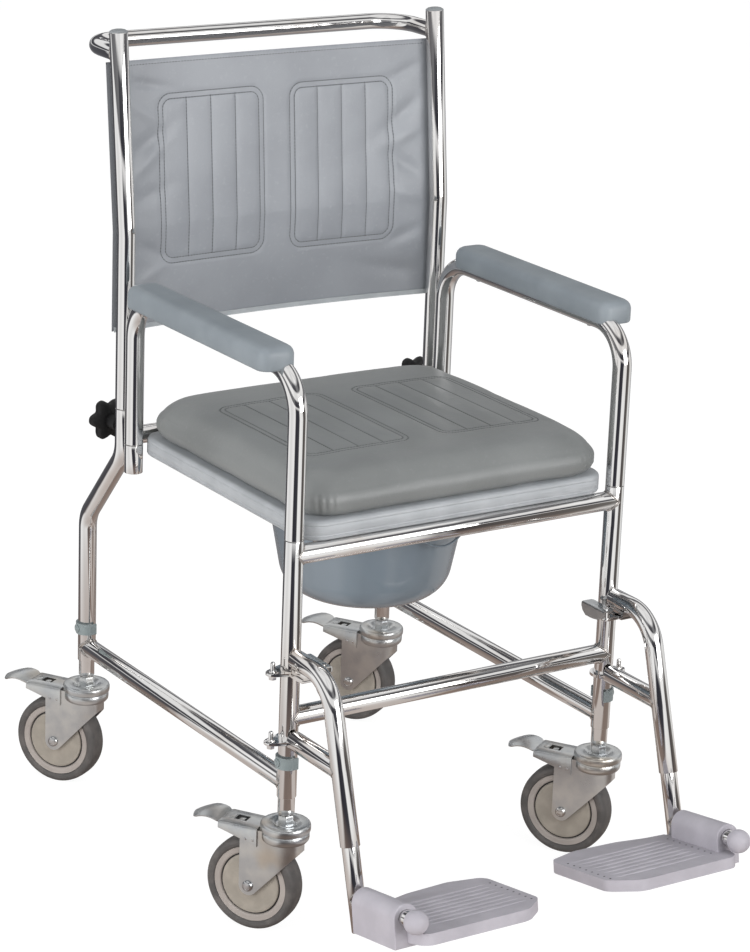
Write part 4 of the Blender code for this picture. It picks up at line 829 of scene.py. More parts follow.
# arms
armLook = {
    "bend": 0.055, "spigot": 0.040, "rearSpigot": 0.032,
    "padWidth": 0.052, "padOffset": 0.011, "padFront": 0.026, "padRear": 0.384,
    "padLow": 0.750, "padHigh": 0.781,
    # (rise from the pad's underside, inset), and (drop from its top, inset)
    "under": [(0.0045, 0.0070), (0.0, 0.0062), (-0.0002, 0.0035), (0.0006, 0.0010), (0.003, 0.0)],
    "over": [(0.012, 0.0), (0.0075, 0.0012), (0.0040, 0.0036), (0.0015, 0.0075), (0.0003, 0.0125),
             (0.0, 0.0190)],
    "screwY": (0.075, 0.335), "screw": {"Radius": 0.0042, "Height": 0.0016},
}


def addArm(side):
    look, radius, body = armLook, tube["radius"], f"arm_{side}"
    x, rear, top = sides[side] * chair["legX"], chair["armRearY"], chair["armTop"]
    path = [(x, 0, chair["frontSeam"]), (x, 0, top), (x, rear, top), (x, rear, frameLook["socketTop"])]
    start, end = spigotEnd(radius, look["spigot"]), spigotEnd(radius, look["rearSpigot"])
    bent = sweep(filleted(path, look["bend"], 14), radius, start, end)
    addPiece(f"armTube_{side}", bent, body, "chrome", "chrome", f"arm_tube_{side}")
    addPad(side)
    dots = [((x, y, top - radius), (0, 0, -1)) for y in look["screwY"]]
    grown(f"padScrews_{side}", dotMesh("screws", dots), "head", look["screw"], "steel", body, "steel")


def addPad(side):
    look = armLook
    x, half = sides[side] * (chair["legX"] + look["padOffset"]), look["padWidth"] / 2
    levels = [(look["padLow"] + rise, inset) for rise, inset in look["under"]]
    levels += [(look["padHigh"] - drop, inset) for drop, inset in look["over"]]
    low, high = (x - half, look["padFront"]), (x + half, look["padRear"])
    bm, loops = stacked(low, high, levels, lambda inset: max(half * 0.6 - inset * 0.7, 0.003), 10)
    bm.faces.new(loops[0])
    bm.faces.new(loops[-1])
    pad = addPiece(f"armPad_{side}", bm, f"arm_{side}", "pad", "pad", f"arm_pad_{side}", sharp=50.0)


for side in sides:
    addArm(side)
print("arms made")


# backrest
backLook = {
    "bottom": 0.694, "top": 1.0555, "halfWidth": 0.263, "bulge": 0.015, "thick": 0.009, "thin": 0.0036,
    "columns": 176, "rows": 120, "edge": 0.004,
    "hemHeight": 0.0062, "hemThick": 0.0009, "zigzags": 300, "zigzagHalf": 0.252,
    "edgeSeamX": 0.2575, "topSeamHalf": 0.235,
    "postBend": 0.120, "spigot": 0.040,
    "pushBarRadius": 0.0111, "pushBarZ": 1.068, "reach": 0.099, "bend": 0.050,
}
stitchLook = {"Spacing": 0.0046, "Thread Length": 0.0034, "Thread Radius": 0.0006}
# folds where the cover is drawn to the posts: (x, z, reach across, reach up, lean, depth)
backFolds = (
    (-0.232, 1.028, 0.060, 0.007, -0.20, 0.0024),
    (-0.228, 0.996, 0.045, 0.010, -0.55, -0.0020),
    (-0.226, 0.935, 0.050, 0.012, 0.50, 0.0032),
    (-0.225, 0.905, 0.040, 0.010, 0.75, -0.0024),
    (-0.227, 0.868, 0.048, 0.011, 0.30, 0.0026),
    (-0.225, 0.808, 0.044, 0.009, -0.40, 0.0022),
    (-0.226, 0.755, 0.046, 0.009, 0.45, -0.0018),
    (-0.205, 0.722, 0.070, 0.010, -0.25, 0.0020),
    (0.230, 1.020, 0.055, 0.009, 0.35, 0.0022),
    (0.226, 0.968, 0.050, 0.013, 0.60, 0.0036),
    (0.224, 0.930, 0.040, 0.010, 0.35, -0.0026),
    (0.226, 0.872, 0.050, 0.012, -0.55, 0.0034),
    (0.224, 0.838, 0.042, 0.009, -0.25, -0.0024),
    (0.228, 0.790, 0.050, 0.010, 0.30, 0.0024),
    (0.210, 0.730, 0.070, 0.011, -0.20, 0.0020),
)


def outlineGap(a, b, centre, half, radius):
    overX, overY = abs(a - centre[0]) - (half[0] - radius), abs(b - centre[1]) - (half[1] - radius)
    outside = math.hypot(max(overX, 0), max(overY, 0))
    return outside + min(max(overX, overY), 0.0) - radius


def sewnDip(a, b, sewing):
    # how far a cover is drawn in: sharp at each seam, with full channels between them
    a = abs(a)
    centre = (sewing["centreX"], sewing["middle"])
    outer, border = sewing["half"], sewing["border"]
    edge = outlineGap(a, b, centre, outer, sewing["radius"])
    inner = outlineGap(a, b, centre, (outer[0] - border, outer[1] - border), sewing["radius"] - border)
    depth, full = sewing["seamDepth"], sewing["fullness"]
    dip = depth * (math.exp(-(edge / 0.0020) ** 2) + math.exp(-(inner / 0.0020) ** 2))
    if inner < 0:
        lines = [abs(a - centre[0] - seam) for seam in sewing["seams"]]
        nearest = min(lines + [-inner])
        dip += depth * math.exp(-(min(lines) / 0.0018) ** 2) - full * min(1.0, nearest / 0.014) ** 0.6
    return dip


def panelPlace(x, z):
    # 1 midway between the posts and 0 at them, and the share of the way up
    inside = chair["legX"] - tube["radius"]
    across = 1.0 - (abs(x) / inside) ** 2 if abs(x) < inside else 0.0
    return across, (z - backLook["bottom"]) / (backLook["top"] - backLook["bottom"])


def backFront(x, z):
    # the front face of the panel, without its seams
    across, share = panelPlace(x, z)
    y = postY(z) + tube["radius"] + 0.0003 + backLook["bulge"] * across * (1.0 - 0.75 * share)
    fold = 0.0
    for foldX, foldZ, wide, tall, lean, depth in backFolds:
        dx = x - foldX
        dz = z - foldZ - lean * dx
        fold += 1.5 * depth * math.exp(-(dx / wide) ** 2 - (dz / tall) ** 2)
    return y + fold * min(1.0, max(0.0, across * 3.5))


def panelFaces(x, z):
    # where the panel's front and back lie, drawn together round its edge
    look = backLook
    across, share = panelPlace(x, z)
    front = backFront(x, z)
    edge = min(1.0, min(look["halfWidth"] - abs(x), z - look["bottom"], look["top"] - z) / look["edge"])
    roll = 1 - math.sqrt(max(0.0, edge * (2 - edge)))
    full = min(1.0, across * 4) * min(1.0, math.sin(math.pi * share) * 5)
    thick = look["thin"] + (look["thick"] - look["thin"]) * full
    middle = front + thick / 2
    dip = sewnDip(x, z, backSewing)
    return [y + (middle - y) * roll for y in (front + dip, middle + thick / 2 - dip * 0.4)]


def addPanel():
    look = backLook
    xs = np.linspace(-look["halfWidth"], look["halfWidth"], look["columns"] + 1)
    zs = np.linspace(look["bottom"], look["top"], look["rows"] + 1)
    bm = bmesh.new()
    places = [[panelFaces(x, z) for x in xs] for z in zs]
    borders = []
    for face in (0, 1):
        rows = [[bm.verts.new((x, ys[face], z)) for x, ys in zip(xs, row)] for z, row in zip(zs, places)]
        for low, high in zip(rows, rows[1:]):
            bridge(bm, low, high, False)
        right, left = [row[-1] for row in rows[1:]], [row[0] for row in rows[-2:0:-1]]
        borders.append(rows[0] + right + rows[-1][-2::-1] + left)
    bridge(bm, *borders)
    panel = addPiece("backPanel", bm, "backrest", "back", "back_vinyl", "back_panel", sharp=70.0)
    return panel


def roundedPath(centre, half, radius, steps=8):
    low = (centre[0] - half[0], centre[1] - half[1])
    high = (centre[0] + half[0], centre[1] + half[1])
    outline = roundedRectangle(low, high, radius, steps)
    dense = []
    for (a, b), (c, d) in zip(outline, outline[1:] + outline[:1]):
        count = max(1, round(math.hypot(c - a, d - b) / 0.006))
        dense += [(a + (c - a) * k / count, b + (d - b) * k / count) for k in range(count)]
    return dense + dense[:1]


def sewnPaths(sewing, steps=40):
    # every line of stitching in the panel's own plane, for both halves
    outer, border, radius = sewing["half"], sewing["border"], sewing["radius"]
    inner = (outer[0] - border, outer[1] - border)
    paths = []
    for sign in (-1, 1):
        centre = (sign * sewing["centreX"], sewing["middle"])
        paths += [roundedPath(centre, outer, radius), roundedPath(centre, inner, radius - border)]
        for seam in sewing["seams"]:
            heights = [centre[1] - inner[1] + 2 * inner[1] * k / steps for k in range(steps + 1)]
            paths.append([(centre[0] + seam, height) for height in heights])
    return paths


def laidOn(piece, paths, lift, direction):
    # drops each line on a piece along a direction, in the chair's coordinates
    places = [vertex.co.copy() for vertex in piece.data.vertices]
    surface = BVHTree.FromPolygons(places, [list(face.vertices) for face in piece.data.polygons])
    heading = Vector(direction)
    laid = []
    for path in paths:
        hits = [surface.ray_cast(Vector(point) + shift - heading * 0.3, heading)[0] for point in path]
        laid.append([hit - shift - heading * lift for hit in hits if hit])
    return laid


def addBackSewing(panel):
    look, y = backLook, chair["postY"]
    half, bottom, top = look["halfWidth"], look["bottom"], look["top"]
    paths = [[(x, y, z) for x, z in path] for path in sewnPaths(backSewing)]
    seams = lineMesh("seams", laidOn(panel, paths, -0.00012, (0, 1, 0)))
    grown("backStitches", seams, "stitch", {**stitchLook, "Seed": 3}, "thread", "backrest", "back_vinyl")
    rows = []
    for z in np.linspace(bottom - 0.0006, bottom + look["hemHeight"], 5):
        xs = np.linspace(-half + 0.002, half - 0.002, 150)
        rows.append([(x, backFront(x, max(z, bottom)) - look["hemThick"], z) for x in xs])
    hem = sheetMetal(rows, look["hemThick"])
    addPiece("backHem", hem, "backrest", "hem", "back_vinyl", sharp=60.0)
    reach, count = look["zigzagHalf"], look["zigzags"]
    zigzag = []
    for k in range(count):
        x = -reach + 2 * reach * k / (count - 1)
        z = bottom + (0.0016 if k % 2 else 0.0048)
        zigzag.append((x, backFront(x, z) - 0.0013, z))
    lines = lineMesh("zigzag", [zigzag])
    values = {**stitchLook, "Spacing": 0.0034, "Thread Radius": 0.00035, "Seed": 5}
    grown("hemStitches", lines, "stitch", values, "hemThread", "backrest", "back_vinyl")
    edges = []
    for x in (-look["edgeSeamX"], look["edgeSeamX"]):
        edges.append([(x, y, z) for z in np.linspace(bottom + 0.008, top - 0.008, 90)])
    reach = look["topSeamHalf"]
    edges.append([(x, y, top - 0.006) for x in np.linspace(-reach, reach, 90)])
    lines = lineMesh("edges", laidOn(panel, edges, -0.0001, (0, 1, 0)))
    grown("edgeStitches", lines, "stitch", {**stitchLook, "Seed": 8}, "thread", "backrest", "back_vinyl")


def addPosts():
    look, radius = backLook, tube["radius"]
    foot, bendZ, topZ = chair["postY"], chair["bendPost"], chair["topPost"]
    lean = math.atan2(chair["recline"], topZ - bendZ)
    profile = [(0, -0.002), (radius - 0.001, -0.002), (radius - 0.0002, 0.0), (radius + 0.0001, 0.0009)]
    profile += [(radius * 0.93, 0.0022), (radius * 0.70, 0.0040), (radius * 0.36, 0.0049), (0, 0.0052)]
    caps = []
    for side, sign in sides.items():
        x = sign * chair["legX"]
        end = (x, postY(topZ), topZ)
        path = filleted([(x, foot, chair["rearSeam"]), (x, foot, bendZ), end], look["postBend"], 6)
        post = sweep(path, radius, spigotEnd(radius, look["spigot"]), blunt(radius))
        addPiece(f"backPost_{side}", post, "backrest", "chrome", "chrome", f"back_post_{side}")
        caps.append(turned(profile, 32, Matrix.Translation(end) @ Matrix.Rotation(-lean, 4, "X")))
    addPiece("postCaps", merged(*caps), "backrest", "plug", "clip", sharp=50.0)
    x, z, thin = chair["legX"], look["pushBarZ"], look["pushBarRadius"]
    start, y = postY(z), postY(z) + look["reach"]
    path = [(-x, start + 0.004, z), (-x, y, z), (x, y, z), (x, start + 0.004, z)]
    push = sweep(filleted(path, look["bend"], 14), thin)
    addPiece("pushBar", push, "backrest", "chrome", "chrome", "push_bar")
    beads = [weldBead((sign * x, start, z), (0, 1, 0), (0, 0, 1), thin, radius) for sign in (-1, 1)]
    addPiece("pushBarWelds", merged(*beads), "backrest", "weld", "chrome", sharp=60.0)


addPosts()
backPanel = addPanel()
addBackSewing(backPanel)
print("backrest made")


# star knobs
knobLook = {
    "z": 0.562, "plane": 0.043, "radius": 0.0295, "thick": 0.016, "lobes": 6, "depth": 0.0045, "points": 96,
    # (share of the thickness, share of the radius)
    "levels": [(-0.5, 0.82), (-0.42, 0.93), (-0.22, 1.0), (0.22, 1.0), (0.42, 0.94), (0.5, 0.84)],
    "neck": [(0, 0.0135), (0.0098, 0.0135), (0.0105, 0.0143), (0.0105, 0.036), (0, 0.036)],
    "cap": [(0, -0.001), (0.0115, -0.001), (0.0112, 0.0008), (0.0100, 0.0014), (0, 0.0016)],
    "stud": [(0, 0.0116), (0.004, 0.0116), (0.004, 0.030), (0, 0.030)],
}


def addStarKnob(side):
    look, body = knobLook, f"knob_{side}"
    x, z = sides[side] * chair["legX"], look["z"]
    bm = bmesh.new()
    loops = []
    for level, share in look["levels"]:
        y = level * look["thick"]
        loop = []
        for k in range(look["points"]):
            turn = 2 * math.pi * k / look["points"]
            wave = (1 - math.cos(look["lobes"] * turn)) / 1.5
            radius = (look["radius"] - look["depth"] * 1.15 * wave ** 1.3) * share
            loop.append(bm.verts.new((x + radius * math.cos(turn), y, z + radius * math.sin(turn))))
        loops.append(loop)
    walls(bm, loops, True)
    bm.transform(Matrix.Translation((0, chair["postY"] + look["plane"], 0)))
    turn = Matrix.Translation((x, chair["postY"], z)) @ Matrix.Rotation(-math.pi / 2, 4, "X")
    neck = turned(look["neck"], 32, turn)
    cap = turned(lifted(look["cap"], look["plane"] + look["thick"] / 2), 32, turn)
    knob = merged(bm, neck, cap)
    addPiece(f"starKnob_{side}", knob, body, "knob", "knob", f"star_knob_{side}", sharp=45.0)
    addPiece(f"knobStud_{side}", turned(look["stud"], 20, turn), body, "steel", "steel")


for side in sides:
    addStarKnob(side)


# height clips
clipLook = {
    "z": 0.239, "height": 0.016, "wall": 0.0028, "edge": 0.0007, "pin": 0.0033, "pinEnd": 0.0115,
    # the button, from the band's outer face
    "button": [(0, -0.001), (0.0058, -0.001), (0.0058, 0.0009), (0.0052, 0.0013), (0.0034, 0.0014),
               (0.0030, 0.0023), (0.0022, 0.0026), (0, 0.0027)],
}


def addClip(corner):
    sign, y = corners[corner]
    look, inner = clipLook, tube["radius"] + 0.0002
    outer, lip, half = inner + look["wall"], -tube["radius"] * 0.55, look["height"] / 2
    outline = [(lip, -outer)] + arc((0, 0), outer, -90, 90, 24) + [(lip, outer), (lip, inner)]
    outline += arc((0, 0), inner, 90, -90, 24) + [(lip, -inner)]
    band = slab(outline, -half, half, look["edge"])
    turn = Matrix.Rotation(math.pi / 2, 4, "Y")
    button = turned(lifted(look["button"], outer), 28, turn)
    radius, end = look["pin"], look["pinEnd"]
    pin = turned([(0, end), (radius, end), (radius, outer), (0, outer)], 16, turn)
    place = Matrix.Translation((sign * chair["legX"], y, look["z"])) @ Matrix.Diagonal((sign, 1, 1, 1))
    clip, node = merged(band, button, pin), f"height_clip_{corner}"
    addPiece(f"heightClip_{corner}", clip, f"clip_{corner}", "clip", "clip", node, matrix=place)


for corner in corners:
    addClip(corner)
print("knobs and clips made")


# seat board
boardLook = {
    "half": 0.235, "front": -0.005, "rear": 0.431, "low": 0.5295, "high": 0.5560, "corner": 0.032,
    "holeX": 0.098, "holeY": 0.120, "holeMiddle": 0.218, "lip": 0.004,
    "lines": (0.5345, 0.5375, 0.5490), "lineHalf": 0.0009, "lineDepth": 0.0007,
    # (rise from the underside, inset), and (drop from the top, inset)
    "under": [(0.0, 0.0050), (0.0006, 0.0028), (0.0020, 0.0010), (0.0045, 0.0)],
    "over": [(0.0052, 0.0), (0.0028, 0.0010), (0.0010, 0.0030), (0.0, 0.0062)],
    "lugX": (0.1826, 0.191), "lugY": (0.085, 0.381), "lugHalf": 0.015, "lugZ": (0.5249, 0.5320),
}


def addBoard():
    look = boardLook
    low, high, half, middle, lip = (look[k] for k in ("low", "high", "half", "holeMiddle", "lip"))
    levels = [(low + rise, inset) for rise, inset in look["under"]]
    for line in look["lines"]:
        near, far = line - look["lineHalf"], line + look["lineHalf"]
        levels += [(near, 0.0), (line, look["lineDepth"]), (far, 0.0)]
    levels += [(high - drop, inset) for drop, inset in look["over"]]
    start, end = (-half, look["front"]), (half, look["rear"])
    bm, loops = stacked(start, end, levels, lambda inset: look["corner"] - inset, 24)
    rims = []
    for z, grow, edge in ((low, 0.0, loops[0]), (high, lip, loops[-1])):
        # each rim point of the hole looks out at the skirt point in its own direction
        rim = []
        for vertex in edge:
            turn = math.atan2((vertex.co.y - middle) / look["holeY"], vertex.co.x / look["holeX"])
            x = (look["holeX"] + grow) * math.cos(turn)
            y = middle + (look["holeY"] + grow) * math.sin(turn)
            rim.append(bm.verts.new((x, y, z)))
        rims.append(rim)
        bridge(bm, edge, rim)
    scale = look["holeX"] / (look["holeX"] + lip)
    soft = []
    for vertex in rims[1]:
        x, y = vertex.co.x * scale, middle + (vertex.co.y - middle) * scale
        soft.append(bm.verts.new((x, y, high - lip)))
    walls(bm, [rims[1], soft, rims[0]])
    lugs = []
    for sign in (-1, 1):
        left, right = sorted(sign * x for x in look["lugX"])
        for y in look["lugY"]:
            near, far = (left, y - look["lugHalf"]), (right, y + look["lugHalf"])
            lugs.append(block(near, far, *look["lugZ"], 0.0006))
    addPiece("seatBoard", merged(bm, *lugs), "seat_board", "board", "board", "seat_board", sharp=40.0)


addBoard()


# pan
panLook = {
    "y": 0.218, "radius": 0.141, "base": 0.118, "bottom": 0.362, "corner": 0.045, "wall": 0.003,
    "top": 0.5248, "flange": 0.0025, "halfX": 0.182, "halfY": 0.150,
    "ridgeZ": 0.4600, "ridgeRise": 0.020, "ridgeTurn": -75, "ridgeReach": 20, "ridge": 0.0016,
    "slope": 0.185,  # how far the bowl's side leans out as it rises
}


def addPan():
    look = panLook
    middle, wall, top, rim = look["y"], look["wall"], look["top"], look["top"] + look["flange"]
    outer, inner = [(0.0, look["bottom"])], [(0.0, look["bottom"] + wall)]
    centre = (look["base"] - look["corner"], look["bottom"] + look["corner"])
    for profile, inward in ((outer, 0.0), (inner, wall)):
        profile += arc(centre, look["corner"] - inward, -90, -12, 12)
    edge = outer[-1]
    for share in (0.3, 0.6, 0.85):
        outer.append((edge[0] + (look["radius"] - edge[0]) * share, edge[1] + (top - edge[1]) * share))
    outer += [(look["radius"], top - 0.002), (look["radius"] + 0.001, top), (look["radius"], rim)]
    profile = outer + [(look["radius"] - wall, rim - 0.0005)] + inner[::-1]
    bowl = turned(profile, 96, Matrix.Translation((0, middle, 0)))
    halfX, halfY, radius = look["halfX"], look["halfY"], look["radius"] - wall / 2
    outline = roundedRectangle((-halfX, middle - halfY), (halfX, middle + halfY), 0.02, 23)
    turns = [math.atan2(b - middle, a) for a, b in outline]
    mouth = [(radius * math.cos(t), middle + radius * math.sin(t)) for t in turns]
    flange = bmesh.new()
    outside = [flatLoop(flange, outline, z) for z in (top, rim)]
    inside = [flatLoop(flange, mouth, z) for z in (top, rim)]
    walls(flange, [*outside, inside[1], inside[0], outside[0]])
    # a faint moulded ridge that curves across the bowl's front
    path = []
    for k in range(33):
        share = k / 32 * 2 - 1
        turn = math.radians(look["ridgeTurn"] + share * look["ridgeReach"])
        z = look["ridgeZ"] + look["ridgeRise"] * share * share
        radius = look["base"] + 0.0164 + (z - 0.4145) * look["slope"]
        path.append((radius * math.cos(turn), middle + radius * math.sin(turn), z))
    end = [(-0.001, 0.0004), (0.002, 0.0013)]
    ridge = sweep(path, look["ridge"], end, end, 10)
    addPiece("commodePan", merged(bowl, flange, ridge), "pan", "pan", "pan", "commode_pan", sharp=50.0)


addPan()
print("board and pan made")


# cushion
cushionLook = {
    "half": 0.234, "inset": 0.003, "front": -0.004, "rear": 0.430, "corner": 0.054, "low": 0.5563,
    "voxel": 0.005, "pressure": 4.0, "stiffness": 25, "cap": 0.007, "frames": 20, "smoothing": 14,
    "roll": 0.010, "rollWidth": 0.055, "crease": 0.0017, "gathers": 34, "side": 0.045,
}
cushionHalf = (cushionLook["half"], (cushionLook["rear"] - cushionLook["front"]) / 2)
cushionMiddle = (cushionLook["inset"], (cushionLook["front"] + cushionLook["rear"]) / 2)


def puffed(piece):
    # blows the cover up a little, with each point held near its start
    look, scene = cushionLook, bpy.context.scene
    start = np.array([v.co for v in piece.data.vertices])
    cloth = piece.modifiers.new("puff", "CLOTH")
    cloth.settings.use_pressure = True
    cloth.settings.uniform_pressure_force = look["pressure"]
    cloth.settings.effector_weights.gravity = 0.0
    cloth.settings.quality = 4
    cloth.settings.tension_stiffness = look["stiffness"]
    cloth.settings.compression_stiffness = look["stiffness"]
    cloth.point_cache.frame_start = 1
    cloth.point_cache.frame_end = look["frames"]
    for number in range(1, look["frames"] + 1):
        scene.frame_set(number)
    mesh = baked(piece)
    scene.frame_set(1)
    moved = np.array([v.co for v in mesh.vertices]) - start
    length = np.linalg.norm(moved, axis=1, keepdims=True)
    moved *= np.minimum(1.0, look["cap"] / np.maximum(length, 1e-9))
    mesh.vertices.foreach_set("co", (start + moved).astype(np.float32).ravel())
    return mesh


def cushionStart():
    # a crowned form a little inside the finished one, whose sides draw in to the base
    bm = bmesh.new()
    bm.from_mesh(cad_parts["seat_cushion"].data)
    bmesh.ops.remove_doubles(bm, verts=bm.verts, dist=1e-5)
    middle = Vector((*cushionMiddle, cushionLook["low"])) + shift
    for vertex in bm.verts:
        offset = vertex.co - middle
        vertex.co = middle + Vector((offset.x * 0.984, offset.y * 0.984, offset.z * 0.95))
    mesh = bpy.data.meshes.new("cushionStart")
    bm.to_mesh(mesh)
    bm.free()
    piece = linked("cushionStart", mesh)
    voxels = piece.modifiers.new("voxels", "REMESH")
    voxels.mode = "VOXEL"
    voxels.voxel_size = cushionLook["voxel"]
    piece.data = baked(piece)
    return piece


def cornerReach(x, y):
    # how far a place is past the centre of the nearest corner's arc
    return [abs(v) - (half - cushionLook["corner"]) for v, half in zip((x, y), cushionHalf)]


def fitted(point):
    # keeps a point of the cushion inside its outline and over the board
    x, y = point.x - cushionMiddle[0], point.y - cushionMiddle[1]
    gap = outlineGap(x, y, (0, 0), cushionHalf, cushionLook["corner"])
    if gap > 0:
        overX, overY = (max(over, 0) for over in cornerReach(x, y))
        size = max(math.hypot(overX, overY), 1e-9)
        x -= math.copysign(overX / size * gap, x)
        y -= math.copysign(overY / size * gap, y)
    return Vector((x + cushionMiddle[0], y + cushionMiddle[1], max(point.z, cushionLook["low"])))


def cornerCreases(point):
    # gathers of the cover where it is pulled round a corner, deepest low on the side
    look = cushionLook
    x, y = point.x - cushionMiddle[0], point.y - cushionMiddle[1]
    overX, overY = cornerReach(x, y)
    if overX <= 0 or overY <= 0:
        return 0.0
    around = math.atan2(overY, overX)
    size = math.hypot(overX, overY) / look["corner"]
    height = (point.z - look["low"]) / look["side"]
    strength = max(0.0, 1 - abs(height - 0.42) / 0.55) * min(1.0, max(0.0, (size - 0.55) / 0.25))
    front = 1.0 if y < 0 else 0.5
    wave = math.sin(around * look["gathers"] + 2.0 * height + math.copysign(1.3, x))
    return look["crease"] * front * strength * wave * math.sin(2 * around)


def addCushion():
    look = cushionLook
    piece = cushionStart()
    piece.data = puffed(piece)
    smooth = piece.modifiers.new("smooth", "CORRECTIVE_SMOOTH")
    smooth.iterations = look["smoothing"]
    smooth.rest_source = "ORCO"
    smooth.use_only_smooth = True
    finer = piece.modifiers.new("finer", "SUBSURF")
    finer.levels = finer.render_levels = 1
    mesh = baked(piece)
    bpy.data.objects.remove(piece)
    middle = Vector((*cushionMiddle, look["low"] + 0.02))
    normals = [vertex.normal.copy() for vertex in mesh.vertices]
    # smoothing draws the cover in, so it is stretched out to the cushion's outline again
    places = [vertex.co - shift - middle for vertex in mesh.vertices]
    stretch = [cushionHalf[axis] / max(abs(place[axis]) for place in places) for axis in (0, 1)]
    for vertex, normal, place in zip(mesh.vertices, normals, places):
        point = middle + Vector((place.x * stretch[0], place.y * stretch[1], place.z))
        crease = cornerCreases(point)
        point += Vector((point.x - middle.x, point.y - middle.y, 0)).normalized() * crease
        x, y = point.x - middle.x, point.y - middle.y
        inside = -outlineGap(x, y, (0, 0), cushionHalf, look["corner"])
        rolled = max(0.0, 1 - inside / look["rollWidth"]) ** 2
        point.z -= look["roll"] * rolled * min(1.0, max(0.0, (point.z - look["low"] - 0.016) / 0.026))
        if normal.z > 0.6 and point.z > look["low"] + 0.03:
            point.z -= sewnDip(point.x - look["inset"], point.y, seatSewing) + 0.0004
        vertex.co = fitted(point) + shift
    cushion = addMesh("seatCushion", mesh, "cushion", "seat", "seat_vinyl", "seat_cushion", sharp=75.0)
    above = look["low"] + 0.2
    paths = [[(x + look["inset"], y, above) for x, y in path] for path in sewnPaths(seatSewing)]
    lines = lineMesh("seatSeams", laidOn(cushion, paths, -0.00012, (0, 0, -1)))
    values = {**stitchLook, "Seed": 12}
    grown("seatStitches", lines, "stitch", values, "seatThread", "cushion", "seat_vinyl")


addCushion()
print("cushion made")


# castors: modelled with the swivel at zero, trailing along +Y, then set at each corner
castorLook = {
    "trail": 0.042, "axle": 0.0625, "wheel": 0.0635, "tyreHalf": 0.017, "tyreInner": 0.0515,
    "tubeLow": 0.1665, "tubeHigh": 0.372, "neckTop": 0.1675,
    "plateTop": 0.1545, "plateRadius": 0.033, "dishRadius": 0.019, "plateLow": 0.1435,
    "crownRadius": 0.0315, "crownLow": 0.1290,
    "cheek": 0.0210, "metal": 0.0025, "fold": 0.006, "nose": -0.0245, "endRadius": 0.013, "flank": 52,
    "houseStart": 0.030, "houseEnd": 0.086, "houseHalf": 0.0232, "houseTop": 0.1462,
    "pivot": 0.064, "pivotZ": 0.1385, "pivotHalf": 0.0208, "pivotRadius": 0.0022,
    # from the plate's top
    "nut": [(0, -0.0045), (0.0108, -0.0045), (0.0110, -0.0030), (0.0110, 0.0075), (0.0100, 0.0098),
            (0.0070, 0.0104), (0, 0.0104)],
    "washer": [(0, -0.0045), (0.0135, -0.0045), (0.0135, -0.0030), (0.0128, -0.0024), (0, -0.0024)],
    # along the pedal: (place, height, half width)
    "pedal": [(0.060, 0.1395, 0.017), (0.072, 0.1410, 0.0172), (0.0845, 0.1432, 0.0176),
              (0.0880, 0.1448, 0.0205), (0.0920, 0.1470, 0.0222), (0.0980, 0.1490, 0.0226),
              (0.1060, 0.1500, 0.0226), (0.1130, 0.1495, 0.0224), (0.1190, 0.1480, 0.0218),
              (0.1240, 0.1460, 0.0205), (0.1275, 0.1443, 0.0185), (0.1300, 0.1428, 0.0150)],
    # half of the wheel's parts, outward from its middle plane
    "rim": [(0.0426, 0.0105), (0.0430, 0.0128), (0.0438, 0.0136), (0.0460, 0.0140), (0.0495, 0.0139),
            (0.0512, 0.0144)],
    "disc": [(0.0, 0.0138), (0.012, 0.0138), (0.013, 0.0132), (0.030, 0.0131), (0.0370, 0.0134),
             (0.0394, 0.0136), (0.0403, 0.0132), (0.0407, 0.0120)],
    "core": [(0.0, 0.0108), (0.0430, 0.0108)],
    # the bolt's head, from the fork's cheek
    "head": [(0.0041, 0), (0.0072, 0), (0.0074, 0.0012), (0.0066, 0.0028), (0.0048, 0.0038),
             (0.0044, 0.0036), (0.0026, 0.0040), (0.0, 0.0042)],
    "rivetAt": ((0.0355, 0.1290), (0.0460, 0.1290)), "rivet": {"Radius": 0.0019, "Height": 0.0009},
}


def legExtension():
    look, radius = castorLook, tube["inner"]
    low, top, edge, dish = (look[k] for k in ("plateLow", "plateTop", "plateRadius", "dishRadius"))
    start, end = (0, 0, look["tubeLow"]), (0, 0, look["tubeHigh"])
    inner = bar(start, end, radius, blunt(radius, 0.0015), openEnd(radius))
    profile = [(0, look["crownLow"]), (0.0055, look["crownLow"]), (0.0055, low)]
    profile += [(edge - 0.0012, low), (edge - 0.0002, low + 0.0010), (edge, low + 0.003)]
    upper = [(edge, -0.0040), (edge - 0.0006, -0.0020), (edge - 0.0020, -0.0005), (edge - 0.0045, 0.0)]
    upper += [(dish + 0.003, 0.0), (dish, -0.0008), (dish - 0.0035, -0.0036), (dish - 0.0055, -0.0042)]
    plate = turned(profile + lifted(upper + [(0, -0.0042)], top), 64)
    neck = [(0, top + 0.008), (0.0075, top + 0.008), (0.0075, look["neckTop"]), (0, look["neckTop"])]
    nut, washer = turned(lifted(look["nut"], top), 6), turned(lifted(look["washer"], top), 32)
    return inner, merged(plate, nut, washer, turned(neck, 24))


